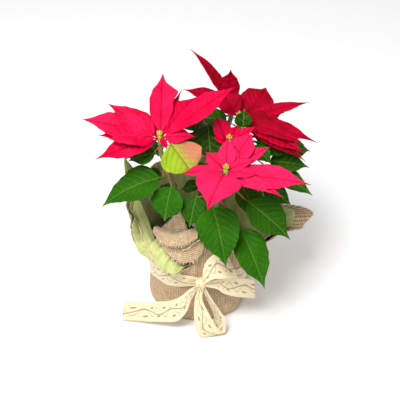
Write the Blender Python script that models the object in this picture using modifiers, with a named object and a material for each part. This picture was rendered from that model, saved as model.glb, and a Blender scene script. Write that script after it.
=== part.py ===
"""A poinsettia built together with its pot.

Five rooted stems stand in one pot of soil. A square of hessian and a thinner green lining are drawn up
round the pot and tied with a ribbon. Lengths below are millimetres and angles are degrees, and metre()
turns points into the model's metres. Azimuth 0 points along +X, 90 to the back and 270 to the front.
"""

from collections import namedtuple
from math import atan2, cos, degrees, exp, hypot, pi, radians, sin

import bmesh
import bpy
from mathutils import Vector

MM = 0.001
GAP = 0.3

# Pot and soil
POT_RIM_RADIUS = 67.0
POT_BASE_RADIUS = 56.0
POT_HEIGHT = 112.0
POT_WALL = 2.4
POT_LIP_WIDTH = 2.6
POT_LIP_DEPTH = 9.0
POT_SIDES = 32
SOIL_BELOW_RIM = 9.0
SOIL_CROWN = 4.0
HOLE_DEPTH = 36.0

# Cloth round the pot
HESSIAN_THICKNESS = 1.2
LINING_THICKNESS = 0.7
LINING_CLEARANCE = 0.7
LINING_STANDOFF = 2.8
STANDOFF_HEIGHT = 60.0
FOOT_RADIUS = 73.0
HEM_RADIUS = 77.0
WAIST_RADIUS = 74.0
TIE_BACK_HEIGHT = 50.0
TIE_FRONT_RISE = 33.0
CLOTH_SECTIONS = 40
TIE_ROW = 4
CLOTH_ROWS = (0.2, 0.4, 0.6, 0.72, 0.86, 1.0)
CLOTH_STEPS = 8
FOLD_START = 0.58
FOLD_END = 0.86

# Stems and heads
STEM_BASE_RADIUS = 4.6
STEM_TOP_RADIUS = 3.2
STEM_SIDES_RESOLUTION = 1
STEM_BURIED = 0.2
STEM_NAPE = 0.9
STEM_NAPE_LENGTH = 8.0
NECK_DEPTH = 10.0
NECK_RADIUS = 4.0
BRACT_SPACING = 0.7
PETIOLE_RADIUS = 1.3
BLADE_THICKNESS = 0.8
BLADE_STATIONS = 6
BLADE_TIP_HALF = 0.5
STALK_HALF = 1.3
FRONT_LEAN = 18.0
LOBE_PLACE = 0.72
LOBE_SPREAD = 0.09

# Ribbon
RIBBON_WIDTH = 38.0
RIBBON_THICKNESS = 0.8
RIBBON_CLEARANCE = 0.7
RIBBON_STATIONS = 12
KNOT_CENTRE = (0.0, -83.1, 84.0)
KNOT_SIZE = (9.0, 7.5, 8.0)

Stem = namedtuple("Stem", "root head")
Blade = namedtuple("Blade", "turn rise reach half arch roll fold belly lobe sway")
Blade.__new__.__defaults__ = (0.06, 0.0, 0.12, 0.36, 0.0, 0.0)
Leaf = namedtuple("Leaf", "height base blade")
Cloth = namedtuple("Cloth", "azimuth length lean curl lining")

STEMS = {
    "left": Stem((-24, -6), (-54, -15, 298)),
    "front": Stem((12, -27), (38, -55, 268)),
    "middle": Stem((8, 2), (44, 5, 278)),
    "right": Stem((33, 16), (60, 55, 286)),
    "back": Stem((-2, 33), (50, 90, 290)),
}

# Bracts of each bloom: azimuth and rise of the chord, its length, half width, arch and roll
BRACTS = {
    "left": (
        Blade(178, 15, 111, 27, 0.05),
        Blade(193, 11, 87, 21, 0.05),
        Blade(205, -5, 97, 19, 0.05),
        Blade(157, 25, 88, 21, 0.02, roll=4),
        Blade(87, 46, 93, 17, 0.02, belly=0.46, lobe=-0.5),
        Blade(66, 28, 84, 6),
        Blade(46, 27, 79, 19, belly=0.45),
        Blade(22, 27, 127, 18, 0.05, belly=0.48),
        Blade(358, 4, 50, 14),
        Blade(300, -20, 22, 5),
        Blade(125, -14, 74, 17),
    ),
    "front": (
        Blade(252, -3, 85, 31, 0.12),
        Blade(192, 6, 65, 11),
        Blade(135, 20, 43, 13),
        Blade(84, 54, 49, 13),
        Blade(62, 44, 40, 13),
        Blade(52, 28, 68, 19, belly=0.55),
        Blade(25, 18, 73, 12),
        Blade(344, 1, 119, 21, 0.04),
        Blade(8, 23, 43, 10),
        Blade(338, 8, 46, 12),
        Blade(318, -4, 61, 9),
        Blade(329, -6, 91, 10),
    ),
    "middle": (
        Blade(127, 38, 42, 14, belly=0.45),
        Blade(20, 24, 46, 9),
        Blade(190, 24, 26, 9),
        Blade(60, 34, 28, 11),
        Blade(290, 10, 26, 8),
    ),
    "right": (
        Blade(58, 10, 82, 26, 0.04, roll=4, belly=0.45, sway=-0.06),
        Blade(128, 33, 48, 20, belly=0.5),
        Blade(14, 7, 108, 12, 0.04),
        Blade(344, -4, 74, 20),
        Blade(340, -7, 120, 15),
        Blade(328, -4, 108, 14),
        Blade(326, -10, 113, 17),
        Blade(325, -15, 118, 15),
        Blade(34, -12, 88, 19),
        Blade(66, -24, 70, 18),
    ),
    "back": (
        Blade(144, 42, 104, 9.5, sway=-0.03),
        Blade(100, 76, 54, 14, -0.16, lobe=0.5),
        Blade(30, -22, 84, 18),
        Blade(112, -20, 84, 19),
        Blade(68, -22, 84, 19),
        Blade(170, 14, 77, 13),
        Blade(146, -18, 76, 17),
        Blade(5, -16, 60, 14),
    ),
}

# Green leaves: how far up the stem, where the blade meets its stalk, and the blade
LEAVES = {
    "left": (
        Leaf(0.72, (-45, -40, 250), Blade(190, -24, 104, 28, 0.12, belly=0.3)),
        Leaf(0.66, (-37, -55, 249), Blade(240, -67, 58, 24)),
        Leaf(0.90, (-58, -20, 277), Blade(190, -13, 43, 17)),
        Leaf(0.88, (-42, -24, 298), Blade(314, -34, 62, 32, belly=0.4)),
        Leaf(0.80, (-56, 16, 250), Blade(140, -20, 84, 25)),
        Leaf(0.62, (-50, 4, 218), Blade(165, -30, 50, 20)),
    ),
    "front": (
        Leaf(0.82, (17, -70, 228), Blade(290, -50, 95, 31, 0.12, belly=0.3)),
        Leaf(0.66, (-2, -56, 232), Blade(250, -50, 50, 18)),
        Leaf(0.62, (56, -70, 190), Blade(300, -42, 101, 25)),
        Leaf(0.86, (62, -58, 226), Blade(331, -31, 90, 27)),
        Leaf(0.72, (60, -34, 234), Blade(300, -35, 60, 20)),
    ),
    "middle": (
        Leaf(0.90, (13, 40, 290), Blade(275, -35, 64, 27)),
        Leaf(0.74, (56, 14, 240), Blade(300, -30, 48, 16)),
        Leaf(0.86, (10, 60, 285), Blade(200, -10, 48, 18)),
    ),
    "right": (
        Leaf(0.80, (98, 18, 236), Blade(355, -6, 66, 19)),
        Leaf(0.70, (104, 10, 226), Blade(338, -22, 74, 17)),
        Leaf(0.84, (64, 27, 286), Blade(80, 68, 30, 13)),
        Leaf(0.90, (76, 18, 265), Blade(312, -16, 44, 15)),
        Leaf(0.88, (46, 60, 278), Blade(160, -4, 52, 18)),
        Leaf(0.76, (100, 52, 244), Blade(20, -22, 84, 24)),
        Leaf(0.62, (84, 62, 214), Blade(52, -38, 84, 24)),
        Leaf(0.58, (92, -6, 212), Blade(332, -24, 54, 17)),
        Leaf(0.80, (80, 34, 260), Blade(345, -12, 60, 18)),
    ),
    "back": (
        Leaf(0.82, (58, 108, 254), Blade(72, -28, 74, 24)),
        Leaf(0.74, (24, 104, 244), Blade(112, -32, 78, 25)),
        Leaf(0.86, (18, 92, 262), Blade(150, -18, 80, 24)),
        Leaf(0.60, (2, 66, 214), Blade(140, -28, 46, 19)),
        Leaf(0.66, (40, 96, 224), Blade(66, -46, 74, 23)),
    ),
}

# Small flowers of each cluster: azimuth, distance from the axis, height, size
FLOWER_SPOTS = (
    (0, 0.0, 4.6, 2.3),
    (210, 3.4, 2.4, 1.9),
    (330, 3.4, 2.6, 1.9),
)

# Cloth above the tie by azimuth: length, lean where it leaves the tie, turn along it, length of lining
CLOTH = (
    Cloth(0, 116, 37, 50, 100),
    Cloth(8, 130, 38, 60, 110),
    Cloth(22, 104, 34, 20, 94),
    Cloth(37.5, 104, 26, 20, 94),
    Cloth(60, 106, 20, 14, 96),
    Cloth(90, 148, 13, 14, 134),
    Cloth(127.5, 140, 10, 14, 128),
    Cloth(150, 126, 10, 16, 138),
    Cloth(165, 138, 11, 8, 170),
    Cloth(180, 118, 20, -8, 114),
    Cloth(192, 102, 15, 0, 102),
    Cloth(202, 78, 8, 60, 79),
    Cloth(213, 84, -2, 155, 86),
    Cloth(225, 78, -3, 165, 80),
    Cloth(240, 55, -2, 165, 57),
    Cloth(248, 40, -2, 150, 41),
    Cloth(256, 31, -2, 60, 31),
    Cloth(263, 27, -2, 0, 27),
    Cloth(271, 74, -6, 0, 34),
    Cloth(292.5, 70, -3, 6, 56),
    Cloth(315, 74, 18, 12, 66),
    Cloth(345, 92, 30, 14, 80),
)

# Lengths of ribbon from the knot: middle, direction across, and share of the full width
STRIPS = {
    "upper_loop": (
        ((3, -88, 89), (-0.3, 0.2, 1), 0.3),
        ((20, -98, 107), (-0.3, 0.4, 0.9), 0.9),
        ((38, -97, 118), (-0.2, 0.4, 0.9), 1),
        ((50, -88, 120), (-0.1, 0.35, 0.95), 1),
        ((40, -84, 118), (-0.2, 0.2, 1), 1),
        ((20, -86, 106), (-0.3, 0.2, 0.9), 0.85),
        ((3, -86, 88), (-0.3, 0.2, 1), 0.3),
    ),
    "lower_loop": (
        ((0, -90, 82), (1, 0, 0), 0.3),
        ((-1, -100, 56), (1, 0.1, 0), 0.6),
        ((8, -112, 24), (0.9, 0.35, 0), 0.95),
        ((20, -112, 5), (0.9, 0.4, 0), 1),
        ((27, -102, 3), (0.9, 0.4, 0), 1),
        ((24, -95, 24), (0.9, 0.35, 0), 0.95),
        ((10, -92, 56), (0.95, 0.2, 0), 0.6),
        ((3, -89, 82), (1, 0, 0), 0.3),
    ),
    "left_tail": (
        ((-4, -89, 82), (0.4, -0.2, 1), 0.3),
        ((-18, -97, 58), (0.5, -0.4, 0.9), 0.7),
        ((-36, -95, 32), (0.3, -0.2, 1), 0.95),
        ((-62, -84, 20.5), (0, 0, 1), 1),
        ((-92, -76, 20.5), (0, 0, 1), 1),
        ((-119, -75, 20.5), (0, 0, 1), 1),
    ),
    "right_tail": (
        ((4, -88, 84), (0.1, 0, 1), 0.3),
        ((26, -90, 72), (0, 0.1, 1), 0.7),
        ((46, -83, 62), (0, 0.1, 1), 0.95),
        ((68, -72, 57), (0.1, 0.15, 1), 1),
        ((90, -56, 56), (0.2, 0.2, 1), 1),
    ),
}

# Front corner of the hessian, standing inside the cloths: azimuth, then radius and height of foot and top
CORNER = (
    (279, 72.0, 136, 72.0, 150),
    (271, 65.5, 128, 64.0, 159),
    (263, 64.0, 121, 61.0, 167),
    (256, 63.0, 120, 60.0, 174),
    (249, 63.0, 120, 60.0, 186),
    (240, 63.0, 120, 60.0, 197),
    (230, 63.0, 120, 60.0, 180),
    (221, 64.0, 121, 62.0, 162),
    (213, 66.0, 125, 67.0, 151),
)

# Lapel folded down from that corner: azimuth, radius and height of its root, its roll and its edge
LAPEL = (
    (276, 64.0, 152, 69.5, 160, 73.0, 146),
    (270, 62.5, 155, 69.0, 161, 75.5, 129),
    (263, 62.0, 156, 68.5, 159, 77.0, 121),
    (256, 61.5, 150, 69.5, 154, 78.0, 119),
    (249, 61.5, 148, 70.0, 152, 80.0, 119),
    (240, 61.5, 147, 70.0, 151, 80.0, 124),
    (230, 61.6, 147, 70.0, 151, 80.0, 131),
    (221, 63.2, 146, 71.0, 151, 79.0, 138),
    (214, 66.2, 145, 72.0, 151, 77.0, 144),
)


def metre(point):
    """Return a point given in millimetres as a vector in metres."""
    return Vector(point) * MM


def heading(azimuth, rise=0.0):
    """Return the unit vector that points to an azimuth and rises above the horizon."""
    flat = cos(radians(rise))
    return Vector((flat * cos(radians(azimuth)), flat * sin(radians(azimuth)), sin(radians(rise))))


def smooth_path(points, count):
    """Return count points along the smooth curve through the given points."""
    knots = [Vector(p) for p in points]
    knots = [2 * knots[0] - knots[1]] + knots + [2 * knots[-1] - knots[-2]]
    path = []
    for step in range(count):
        place = step / (count - 1) * (len(knots) - 3)
        index = min(int(place), len(knots) - 4)
        t = place - index
        a, b, c, d = knots[index : index + 4]
        square = 2 * a - 5 * b + 4 * c - d
        cube = 3 * b - a - 3 * c + d
        path.append(0.5 * (2 * b + (c - a) * t + square * t**2 + cube * t**3))
    return path


def material(name, colour, roughness):
    """Make a plain Principled material."""
    made = bpy.data.materials.new(name)
    made.use_nodes = True
    shader = made.node_tree.nodes["Principled BSDF"]
    shader.inputs["Base Color"].default_value = (*colour, 1.0)
    shader.inputs["Roughness"].default_value = roughness
    return made


def add_object(name, mesh_or_bmesh, collection, finish=None):
    """Put a mesh in the scene as a named object."""
    mesh = mesh_or_bmesh
    if isinstance(mesh_or_bmesh, bmesh.types.BMesh):
        mesh = bpy.data.meshes.new(name)
        mesh_or_bmesh.to_mesh(mesh)
        mesh_or_bmesh.free()
    made = bpy.data.objects.new(name, mesh)
    collection.objects.link(made)
    if finish:
        mesh.materials.clear()
        mesh.materials.append(finish)
    return made


def bake(thing):
    """Replace an object's modifiers or curve by the mesh that they make, with its caps welded on."""
    bpy.context.view_layer.update()
    seen = thing.evaluated_get(bpy.context.evaluated_depsgraph_get())
    mesh = bpy.data.meshes.new_from_object(seen)
    if thing.type == "CURVE":
        work = bmesh.new()
        work.from_mesh(mesh)
        bmesh.ops.remove_doubles(work, verts=work.verts, dist=0.01 * MM)
        work.to_mesh(mesh)
        work.free()
    name = thing.name
    collection = thing.users_collection[0]
    place = thing.matrix_world.copy()
    bpy.data.objects.remove(thing)
    made = bpy.data.objects.new(name, mesh)
    made.matrix_world = place
    collection.objects.link(made)
    return made


def fuse(base, pieces, finish):
    """Join a collection's pieces to a base in one Boolean union, then remove them."""
    union = base.modifiers.new("Union", "BOOLEAN")
    union.operation = "UNION"
    union.operand_type = "COLLECTION"
    union.solver = "EXACT"
    union.collection = pieces
    joined = bake(base)
    for piece in list(pieces.objects):
        bpy.data.objects.remove(piece)
    bpy.data.collections.remove(pieces)
    joined.data.materials.clear()
    joined.data.materials.append(finish)
    return joined


def cut(base, cutters):
    """Cut a collection's solids out of an object."""
    removal = base.modifiers.new("Holes", "BOOLEAN")
    removal.operation = "DIFFERENCE"
    removal.operand_type = "COLLECTION"
    removal.solver = "EXACT"
    removal.collection = cutters


def thicken(thing, thickness, offset):
    """Give an open sheet its thickness."""
    wall = thing.modifiers.new("Thickness", "SOLIDIFY")
    wall.thickness = thickness * MM
    wall.offset = offset


def group(name):
    """Make a collection in the scene."""
    made = bpy.data.collections.new(name)
    bpy.context.scene.collection.children.link(made)
    return made


def turned(name, profile, sides, collection, finish):
    """Spin a closed profile of radius and height pairs, which starts and ends on the axis."""
    mesh = bpy.data.meshes.new(name)
    corners = [(radius * MM, 0.0, height * MM) for radius, height in profile]
    mesh.from_pydata(corners, [(i, i + 1) for i in range(len(corners) - 1)], [])
    made = add_object(name, mesh, collection, finish)
    screw = made.modifiers.new("Turn", "SCREW")
    screw.axis = "Z"
    screw.steps = sides
    screw.render_steps = sides
    screw.use_merge_vertices = True
    screw.merge_threshold = 0.00001
    return made


def pot_bottom():
    """Height of the pot's underside, which stands on the two cloths."""
    return HESSIAN_THICKNESS + LINING_CLEARANCE + LINING_THICKNESS + GAP


def soil_top():
    """Height of the soil where it meets the pot."""
    return pot_bottom() + POT_HEIGHT - SOIL_BELOW_RIM


def make_pot(collection):
    """A tapered nursery pot with a rolled lip."""
    low = pot_bottom()
    top = low + POT_HEIGHT
    lip = top - POT_LIP_DEPTH
    outer = POT_RIM_RADIUS - POT_LIP_WIDTH
    inner = outer - POT_WALL
    profile = (
        (0, low + POT_WALL),
        (POT_BASE_RADIUS - POT_WALL, low + POT_WALL),
        (inner, top),
        (POT_RIM_RADIUS - 0.8, top),
        (POT_RIM_RADIUS, top - 1.2),
        (POT_RIM_RADIUS - 0.4, lip),
        (outer - 0.6, lip),
        (POT_BASE_RADIUS, low),
        (0, low),
    )
    return turned("pot", profile, POT_SIDES, collection, material("pot_plastic", (0.05, 0.035, 0.03), 0.55))


def make_soil(collection, cutters):
    """The soil that fills the pot, crowned in the middle, with a plain hole for each stem."""
    low = pot_bottom() + POT_WALL + GAP
    top = soil_top()
    side = (POT_RIM_RADIUS - POT_LIP_WIDTH - POT_BASE_RADIUS) / POT_HEIGHT
    bottom_radius = POT_BASE_RADIUS - POT_WALL - GAP
    top_radius = bottom_radius + side * (top - low)
    profile = (
        (0, top + SOIL_CROWN),
        (0.55 * top_radius, top + 0.8 * SOIL_CROWN),
        (0.9 * top_radius, top),
        (top_radius, top - 1.5),
        (bottom_radius, low),
        (0, low),
    )
    finish = material("potting_soil", (0.03, 0.018, 0.012), 0.95)
    soil = turned("soil", profile, POT_SIDES, collection, finish)
    depth = HOLE_DEPTH + 20.0
    for name, stem in STEMS.items():
        drill = bmesh.new()
        bmesh.ops.create_cone(
            drill,
            cap_ends=True,
            segments=12,
            radius1=(STEM_BASE_RADIUS + GAP + 0.3) * MM,
            radius2=(STEM_BASE_RADIUS + GAP + 0.3) * MM,
            depth=depth * MM,
        )
        cutter = add_object(name + "_hole", drill, cutters)
        cutter.location = metre((*stem.root, hole_floor() + depth / 2))
        cutter.hide_render = True
        cutter.display_type = "WIRE"
    cut(soil, cutters)
    return soil


def hole_floor():
    """Height of the floor of each stem's hole."""
    return soil_top() - HOLE_DEPTH


def tie_height(azimuth):
    """Height of the ribbon's middle: it rises towards the front."""
    return TIE_BACK_HEIGHT + TIE_FRONT_RISE * ((1 - sin(radians(azimuth))) / 2) ** 2


def cloth_at(azimuth):
    """Blend the cloth's settings between its two nearest azimuths."""
    azimuth %= 360
    after = next((k for k in CLOTH if k.azimuth > azimuth), CLOTH[0])
    before = CLOTH[CLOTH.index(after) - 1]
    span = (after.azimuth - before.azimuth) % 360
    share = ((azimuth - before.azimuth) % 360) / span
    share = share * share * (3 - 2 * share)
    return Cloth(*(a + (b - a) * share for a, b in zip(before, after)))


def cloth_folds(azimuth, height_share):
    """Soft pleats: none at the tie, deeper towards the foot and the edge."""
    angle = radians(azimuth)
    wide = 0.8 * sin(4 * angle + 4.0) + 1.5 * sin(6 * angle + 0.6)
    return height_share * (wide + 1.2 * sin(9 * angle + 2.0))


def cloth_profile(azimuth, lined):
    """Return the radius and height of the hessian's inner face from under the pot to the edge."""
    setting = cloth_at(azimuth)
    tie = tie_height(azimuth)
    floor = HESSIAN_THICKNESS
    path = [(0.0, floor), (FOOT_RADIUS, floor)]
    path.append((HEM_RADIUS + cloth_folds(azimuth, 0.5), floor + 6.0))
    path.append((HEM_RADIUS + cloth_folds(azimuth, 0.8), floor + 0.4 * (tie - floor)))
    path.append((WAIST_RADIUS, tie))
    radius, height = WAIST_RADIUS, tie
    reached = 0.0
    for row in CLOTH_ROWS:
        share = row * setting.lining / setting.length if lined else row
        advance = (share - reached) / CLOTH_STEPS
        for step in range(CLOTH_STEPS):
            here = reached + advance * (step + 0.5)
            bend = min(max((here - FOLD_START) / (FOLD_END - FOLD_START), 0.0), 1.0)
            way = radians(setting.lean + setting.curl * bend)
            radius += setting.length * advance * sin(way)
            height += setting.length * advance * cos(way)
        reached = share
        path.append((radius + cloth_folds(azimuth, 1.3 * share), height))
    return path


def cloth_point(section, row, lined):
    """Return the place of one crossing of the cloth's grid, which goes round the pot in even sections."""
    azimuth = 360 * (section % CLOTH_SECTIONS) / CLOTH_SECTIONS
    radius, height = cloth_profile(azimuth, lined)[row]
    return heading(azimuth) * radius + Vector((0, 0, height))


def cloth_cup(name, lined, clearance, standoff, collection):
    """Wrap a grid into a cup, and set it off towards the plant, further at its edge."""
    rows = TIE_ROW + len(CLOTH_ROWS)
    sheet = bmesh.new()
    bmesh.ops.create_grid(sheet, x_segments=CLOTH_SECTIONS, y_segments=rows, size=1.0)
    for vert in sheet.verts:
        section = round((vert.co.x + 1) / 2 * CLOTH_SECTIONS)
        row = round((vert.co.y + 1) / 2 * rows)
        around = cloth_point(section + 1, row, lined) - cloth_point(section - 1, row, lined)
        along = cloth_point(section, min(row + 1, rows), lined) - cloth_point(section, max(row - 1, 0), lined)
        inward = along.cross(around).normalized() if row > 0 else Vector((0, 0, 1))
        up_cloth = max(cloth_point(section, row, lined).z - cloth_point(section, TIE_ROW, lined).z, 0.0)
        away = clearance + standoff * min(up_cloth / STANDOFF_HEIGHT, 1.0)
        vert.co = metre(cloth_point(section, row, lined) + inward * away)
    bmesh.ops.remove_doubles(sheet, verts=sheet.verts, dist=0.01 * MM)
    bmesh.ops.triangulate(sheet, faces=sheet.faces, quad_method="FIXED")
    return add_object(name, sheet, collection)


def draped(name, rails, columns, rows, collection):
    """A loose sheet of hessian through rails, each a line of places given as azimuth, radius and height."""
    lines = []
    for rail in rails:
        lines.append(smooth_path([heading(a) * r + Vector((0, 0, z)) for a, r, z in rail], columns + 1))
    sheet = bmesh.new()
    bmesh.ops.create_grid(sheet, x_segments=columns, y_segments=rows, size=1.0)
    for vert in sheet.verts:
        column = round((vert.co.x + 1) / 2 * columns)
        row = round((vert.co.y + 1) / 2 * rows)
        vert.co = metre(smooth_path([line[column] for line in lines], rows + 1)[row])
    bmesh.ops.triangulate(sheet, faces=sheet.faces, quad_method="FIXED")
    made = add_object(name, sheet, collection)
    thicken(made, HESSIAN_THICKNESS, 0.0)
    return made


def make_hessian(collection):
    """The hessian square, drawn up round the pot, with its front corner standing up and folded over."""
    wrap = cloth_cup("hessian_wrap", False, 0.0, 0.0, collection)
    thicken(wrap, HESSIAN_THICKNESS, 1.0)
    pieces = group("hessian_corner")
    foot = [(azimuth, radius, height) for azimuth, radius, height, _, _ in CORNER]
    top = [(azimuth, radius, height) for azimuth, _, _, radius, height in CORNER]
    draped("hessian_corner_sheet", (foot, top), 12, 2, pieces)
    rails = [[(place[0], place[k], place[k + 1]) for place in LAPEL] for k in (1, 3, 5)]
    draped("hessian_lapel", rails, 9, 4, pieces)
    return fuse(wrap, pieces, material("hessian", (0.52, 0.36, 0.2), 0.9))


def make_lining(collection):
    """The green lining, which lies just inside the hessian."""
    lining = cloth_cup("green_lining", True, LINING_CLEARANCE, LINING_STANDOFF, collection)
    lining.data.materials.append(material("lining", (0.42, 0.52, 0.16), 0.8))
    thicken(lining, LINING_THICKNESS, -1.0)
    return lining


def outline(share, belly):
    """Half width of a blade along its length, as a share of its widest place, the belly."""
    rise, fall = 1.75 * belly, 1.75 * (1 - belly)
    return (max(share, 0.0) / belly) ** rise * (max(1 - share, 0.0) / (1 - belly)) ** fall


def blade_point(blade, base, along, across, phase):
    """Return the place on a blade: along runs from its base to its tip, across from edge to edge."""
    ahead = heading(blade.turn, blade.rise)
    side = Vector((-sin(radians(blade.turn)), cos(radians(blade.turn)), 0.0))
    up = ahead.cross(side)
    tilt = radians(blade.roll + FRONT_LEAN * cos(radians(blade.turn)))
    side, up = side * cos(tilt) + up * sin(tilt), up * cos(tilt) - side * sin(tilt)
    stalk = 0.1
    half = blade.half * outline((along - stalk) / (1 - stalk), blade.belly)
    if across * blade.lobe > 0:
        half += abs(blade.lobe) * blade.half * exp(-(((along - LOBE_PLACE) / LOBE_SPREAD) ** 2))
    half = max(half, STALK_HALF if along < 0.5 else BLADE_TIP_HALF)
    bulge = 4 * along * (1 - along)
    wave = 0.07 * blade.half * sin(2 * pi * (1.6 * along + phase) + across) * abs(across) * bulge
    lift = blade.arch * blade.reach * bulge + blade.fold * abs(across) * half + wave
    sway = blade.sway * blade.reach * bulge
    return base + ahead * blade.reach * along + side * (across * half + sway) + up * lift


def blade_solid(name, blade, base, phase, collection):
    """One bract or leaf: a grid warped to the blade, split into triangles and thickened."""
    sheet = bmesh.new()
    bmesh.ops.create_grid(sheet, x_segments=BLADE_STATIONS, y_segments=2, size=1.0)
    for vert in sheet.verts:
        vert.co = metre(blade_point(blade, base, (vert.co.x + 1) / 2, vert.co.y, phase))
    bmesh.ops.triangulate(sheet, faces=sheet.faces, quad_method="FIXED")
    made = add_object(name, sheet, collection)
    thicken(made, BLADE_THICKNESS, 0.0)
    return made


def rod(name, start, end, radius_start, radius_end, sides, collection):
    """A tapered prism between two points."""
    shape = bmesh.new()
    way = end - start
    bmesh.ops.create_cone(
        shape,
        cap_ends=True,
        segments=sides,
        radius1=radius_start * MM,
        radius2=radius_end * MM,
        depth=way.length * MM,
    )
    made = add_object(name, shape, collection)
    made.rotation_mode = "QUATERNION"
    made.rotation_quaternion = way.to_track_quat("Z", "Y")
    made.location = metre((start + end) / 2)
    return made


def stem_point(stem, share):
    """Return the place on a stem's middle line: upright in the soil, curving over, upright below its head."""
    foot = Vector((*stem.root, hole_floor() + GAP))
    collar = Vector((*stem.root, soil_top() + 2 * SOIL_CROWN))
    head = Vector(stem.head) - Vector((0, 0, NECK_DEPTH / 2 + GAP))
    nape = head - Vector((0, 0, STEM_NAPE_LENGTH))
    if share <= STEM_BURIED:
        return foot.lerp(collar, share / STEM_BURIED)
    if share >= STEM_NAPE:
        return nape.lerp(head, (share - STEM_NAPE) / (1 - STEM_NAPE))
    climb = nape.z - collar.z
    knee = collar + Vector((0, 0, 0.5 * climb))
    wrist = nape - Vector((0, 0, 0.2 * climb))
    t = (share - STEM_BURIED) / (STEM_NAPE - STEM_BURIED)
    start = collar * (1 - t) ** 3 + knee * 3 * t * (1 - t) ** 2
    return start + wrist * 3 * t * t * (1 - t) + nape * t**3


def make_leafy_stem(name, stem, leaves, collection, finish):
    """A stem with its leaf stalks and leaves, grown as one piece."""
    spine = bpy.data.curves.new(name + "_stem", "CURVE")
    spine.dimensions = "3D"
    spine.bevel_depth = MM
    spine.bevel_resolution = STEM_SIDES_RESOLUTION
    spine.use_fill_caps = True
    line = spine.splines.new("POLY")
    count = 11
    line.points.add(count - 1)
    for index, point in enumerate(line.points):
        share = index / (count - 1)
        point.co = (*metre(stem_point(stem, share)), 1.0)
        point.radius = STEM_BASE_RADIUS + (STEM_TOP_RADIUS - STEM_BASE_RADIUS) * share
    trunk = bpy.data.objects.new(name + "_stem", spine)
    collection.objects.link(trunk)
    trunk = bake(trunk)
    pieces = group(name + "_leaves")
    for index, leaf in enumerate(leaves):
        label = f"{name}_leaf_{index + 1}"
        joint = stem_point(stem, leaf.height)
        base = Vector(leaf.base)
        inward = heading(leaf.blade.turn, leaf.blade.rise) * 4.0
        rod(label + "_stalk", joint, base + inward, PETIOLE_RADIUS * 1.2, PETIOLE_RADIUS, 5, pieces)
        blade_solid(label, leaf.blade, base, 0.37 * index, pieces)
    return fuse(trunk, pieces, finish)


def make_bloom(name, stem, bracts, collection, finish):
    """The red bracts, which grow from a short neck at the head of the stem."""
    head = Vector(stem.head)
    down = Vector((0, 0, NECK_DEPTH / 2))
    neck = rod(name + "_bloom", head - down, head + down, STEM_TOP_RADIUS + 0.3, NECK_RADIUS, 10, collection)
    neck = bake(neck)
    pieces = group(name + "_bracts")
    for index, (blade, base, phase) in enumerate(seated_bracts(head, bracts)):
        blade_solid(f"{name}_bract_{index + 1}", blade, base, phase, pieces)
    return fuse(neck, pieces, finish)


def seated_bracts(head, bracts):
    """Seat each bract on the neck, the longest lowest, and point it at its tip, measured from the head."""
    longest = max(bract.reach for bract in bracts)
    seated = []
    for index, bract in enumerate(bracts):
        level = BRACT_SPACING * NECK_DEPTH * (0.5 - bract.reach / longest)
        base = head + heading(bract.turn) * 2.0 + Vector((0, 0, level))
        chord = head + heading(bract.turn, bract.rise) * bract.reach - base
        rise = degrees(atan2(chord.z, hypot(chord.x, chord.y)))
        seated.append((bract._replace(rise=rise, reach=chord.length), base, 0.29 * index))
    return seated


def make_flowers(name, stem, collection, finish):
    """The cluster of small yellow-green flowers in the middle of a bloom."""
    seat = Vector(stem.head) + Vector((0, 0, NECK_DEPTH / 2 + GAP))
    disc = rod(name + "_flowers", seat, seat + Vector((0, 0, 3.0)), 2.6, 3.6, 6, collection)
    disc = bake(disc)
    pieces = group(name + "_buds")
    for index, (azimuth, away, height, size) in enumerate(FLOWER_SPOTS):
        bud = bmesh.new()
        bmesh.ops.create_uvsphere(bud, u_segments=6, v_segments=4, radius=size * MM)
        bmesh.ops.scale(bud, vec=(1.0, 1.0, 1.3), verts=bud.verts)
        made = add_object(f"{name}_bud_{index + 1}", bud, pieces)
        made.location = metre(seat + heading(azimuth) * away + Vector((0, 0, height)))
    return fuse(disc, pieces, finish)


def strip(name, places, collection):
    """A length of ribbon through places given as a middle, a direction across it and a share of its width."""
    line = smooth_path([middle for middle, _, _ in places], RIBBON_STATIONS + 1)
    across = smooth_path([direction for _, direction, _ in places], RIBBON_STATIONS + 1)
    narrow = smooth_path([(share, 0, 0) for _, _, share in places], RIBBON_STATIONS + 1)
    sheet = bmesh.new()
    bmesh.ops.create_grid(sheet, x_segments=RIBBON_STATIONS, y_segments=1, size=1.0)
    for vert in sheet.verts:
        place = round((vert.co.x + 1) / 2 * RIBBON_STATIONS)
        reach = across[place].normalized() * (0.5 * RIBBON_WIDTH * narrow[place].x)
        vert.co = metre(line[place] + reach * vert.co.y)
    bmesh.ops.triangulate(sheet, faces=sheet.faces, quad_method="FIXED")
    made = add_object(name, sheet, collection)
    thicken(made, RIBBON_THICKNESS, 0.0)
    return made


def ribbon_band(collection):
    """The ribbon's turn round the pot, which narrows towards the knot."""
    sheet = bmesh.new()
    bmesh.ops.create_grid(sheet, x_segments=CLOTH_SECTIONS, y_segments=2, size=1.0)
    for vert in sheet.verts:
        section = round((vert.co.x + 1) / 2 * CLOTH_SECTIONS)
        azimuth = 360 * section / CLOTH_SECTIONS
        from_knot = abs((azimuth - 270 + 180) % 360 - 180)
        half = 0.5 * RIBBON_WIDTH * min(0.35 + from_knot / 60, 1.0)
        radius, height = band_point(azimuth, vert.co.y * half)
        vert.co = heading(azimuth) * radius * MM
        vert.co.z = height * MM
    bmesh.ops.remove_doubles(sheet, verts=sheet.verts, dist=0.01 * MM)
    bmesh.ops.triangulate(sheet, faces=sheet.faces, quad_method="FIXED")
    band = add_object("ribbon", sheet, collection)
    thicken(band, RIBBON_THICKNESS, 1.0)
    return bake(band)


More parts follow.
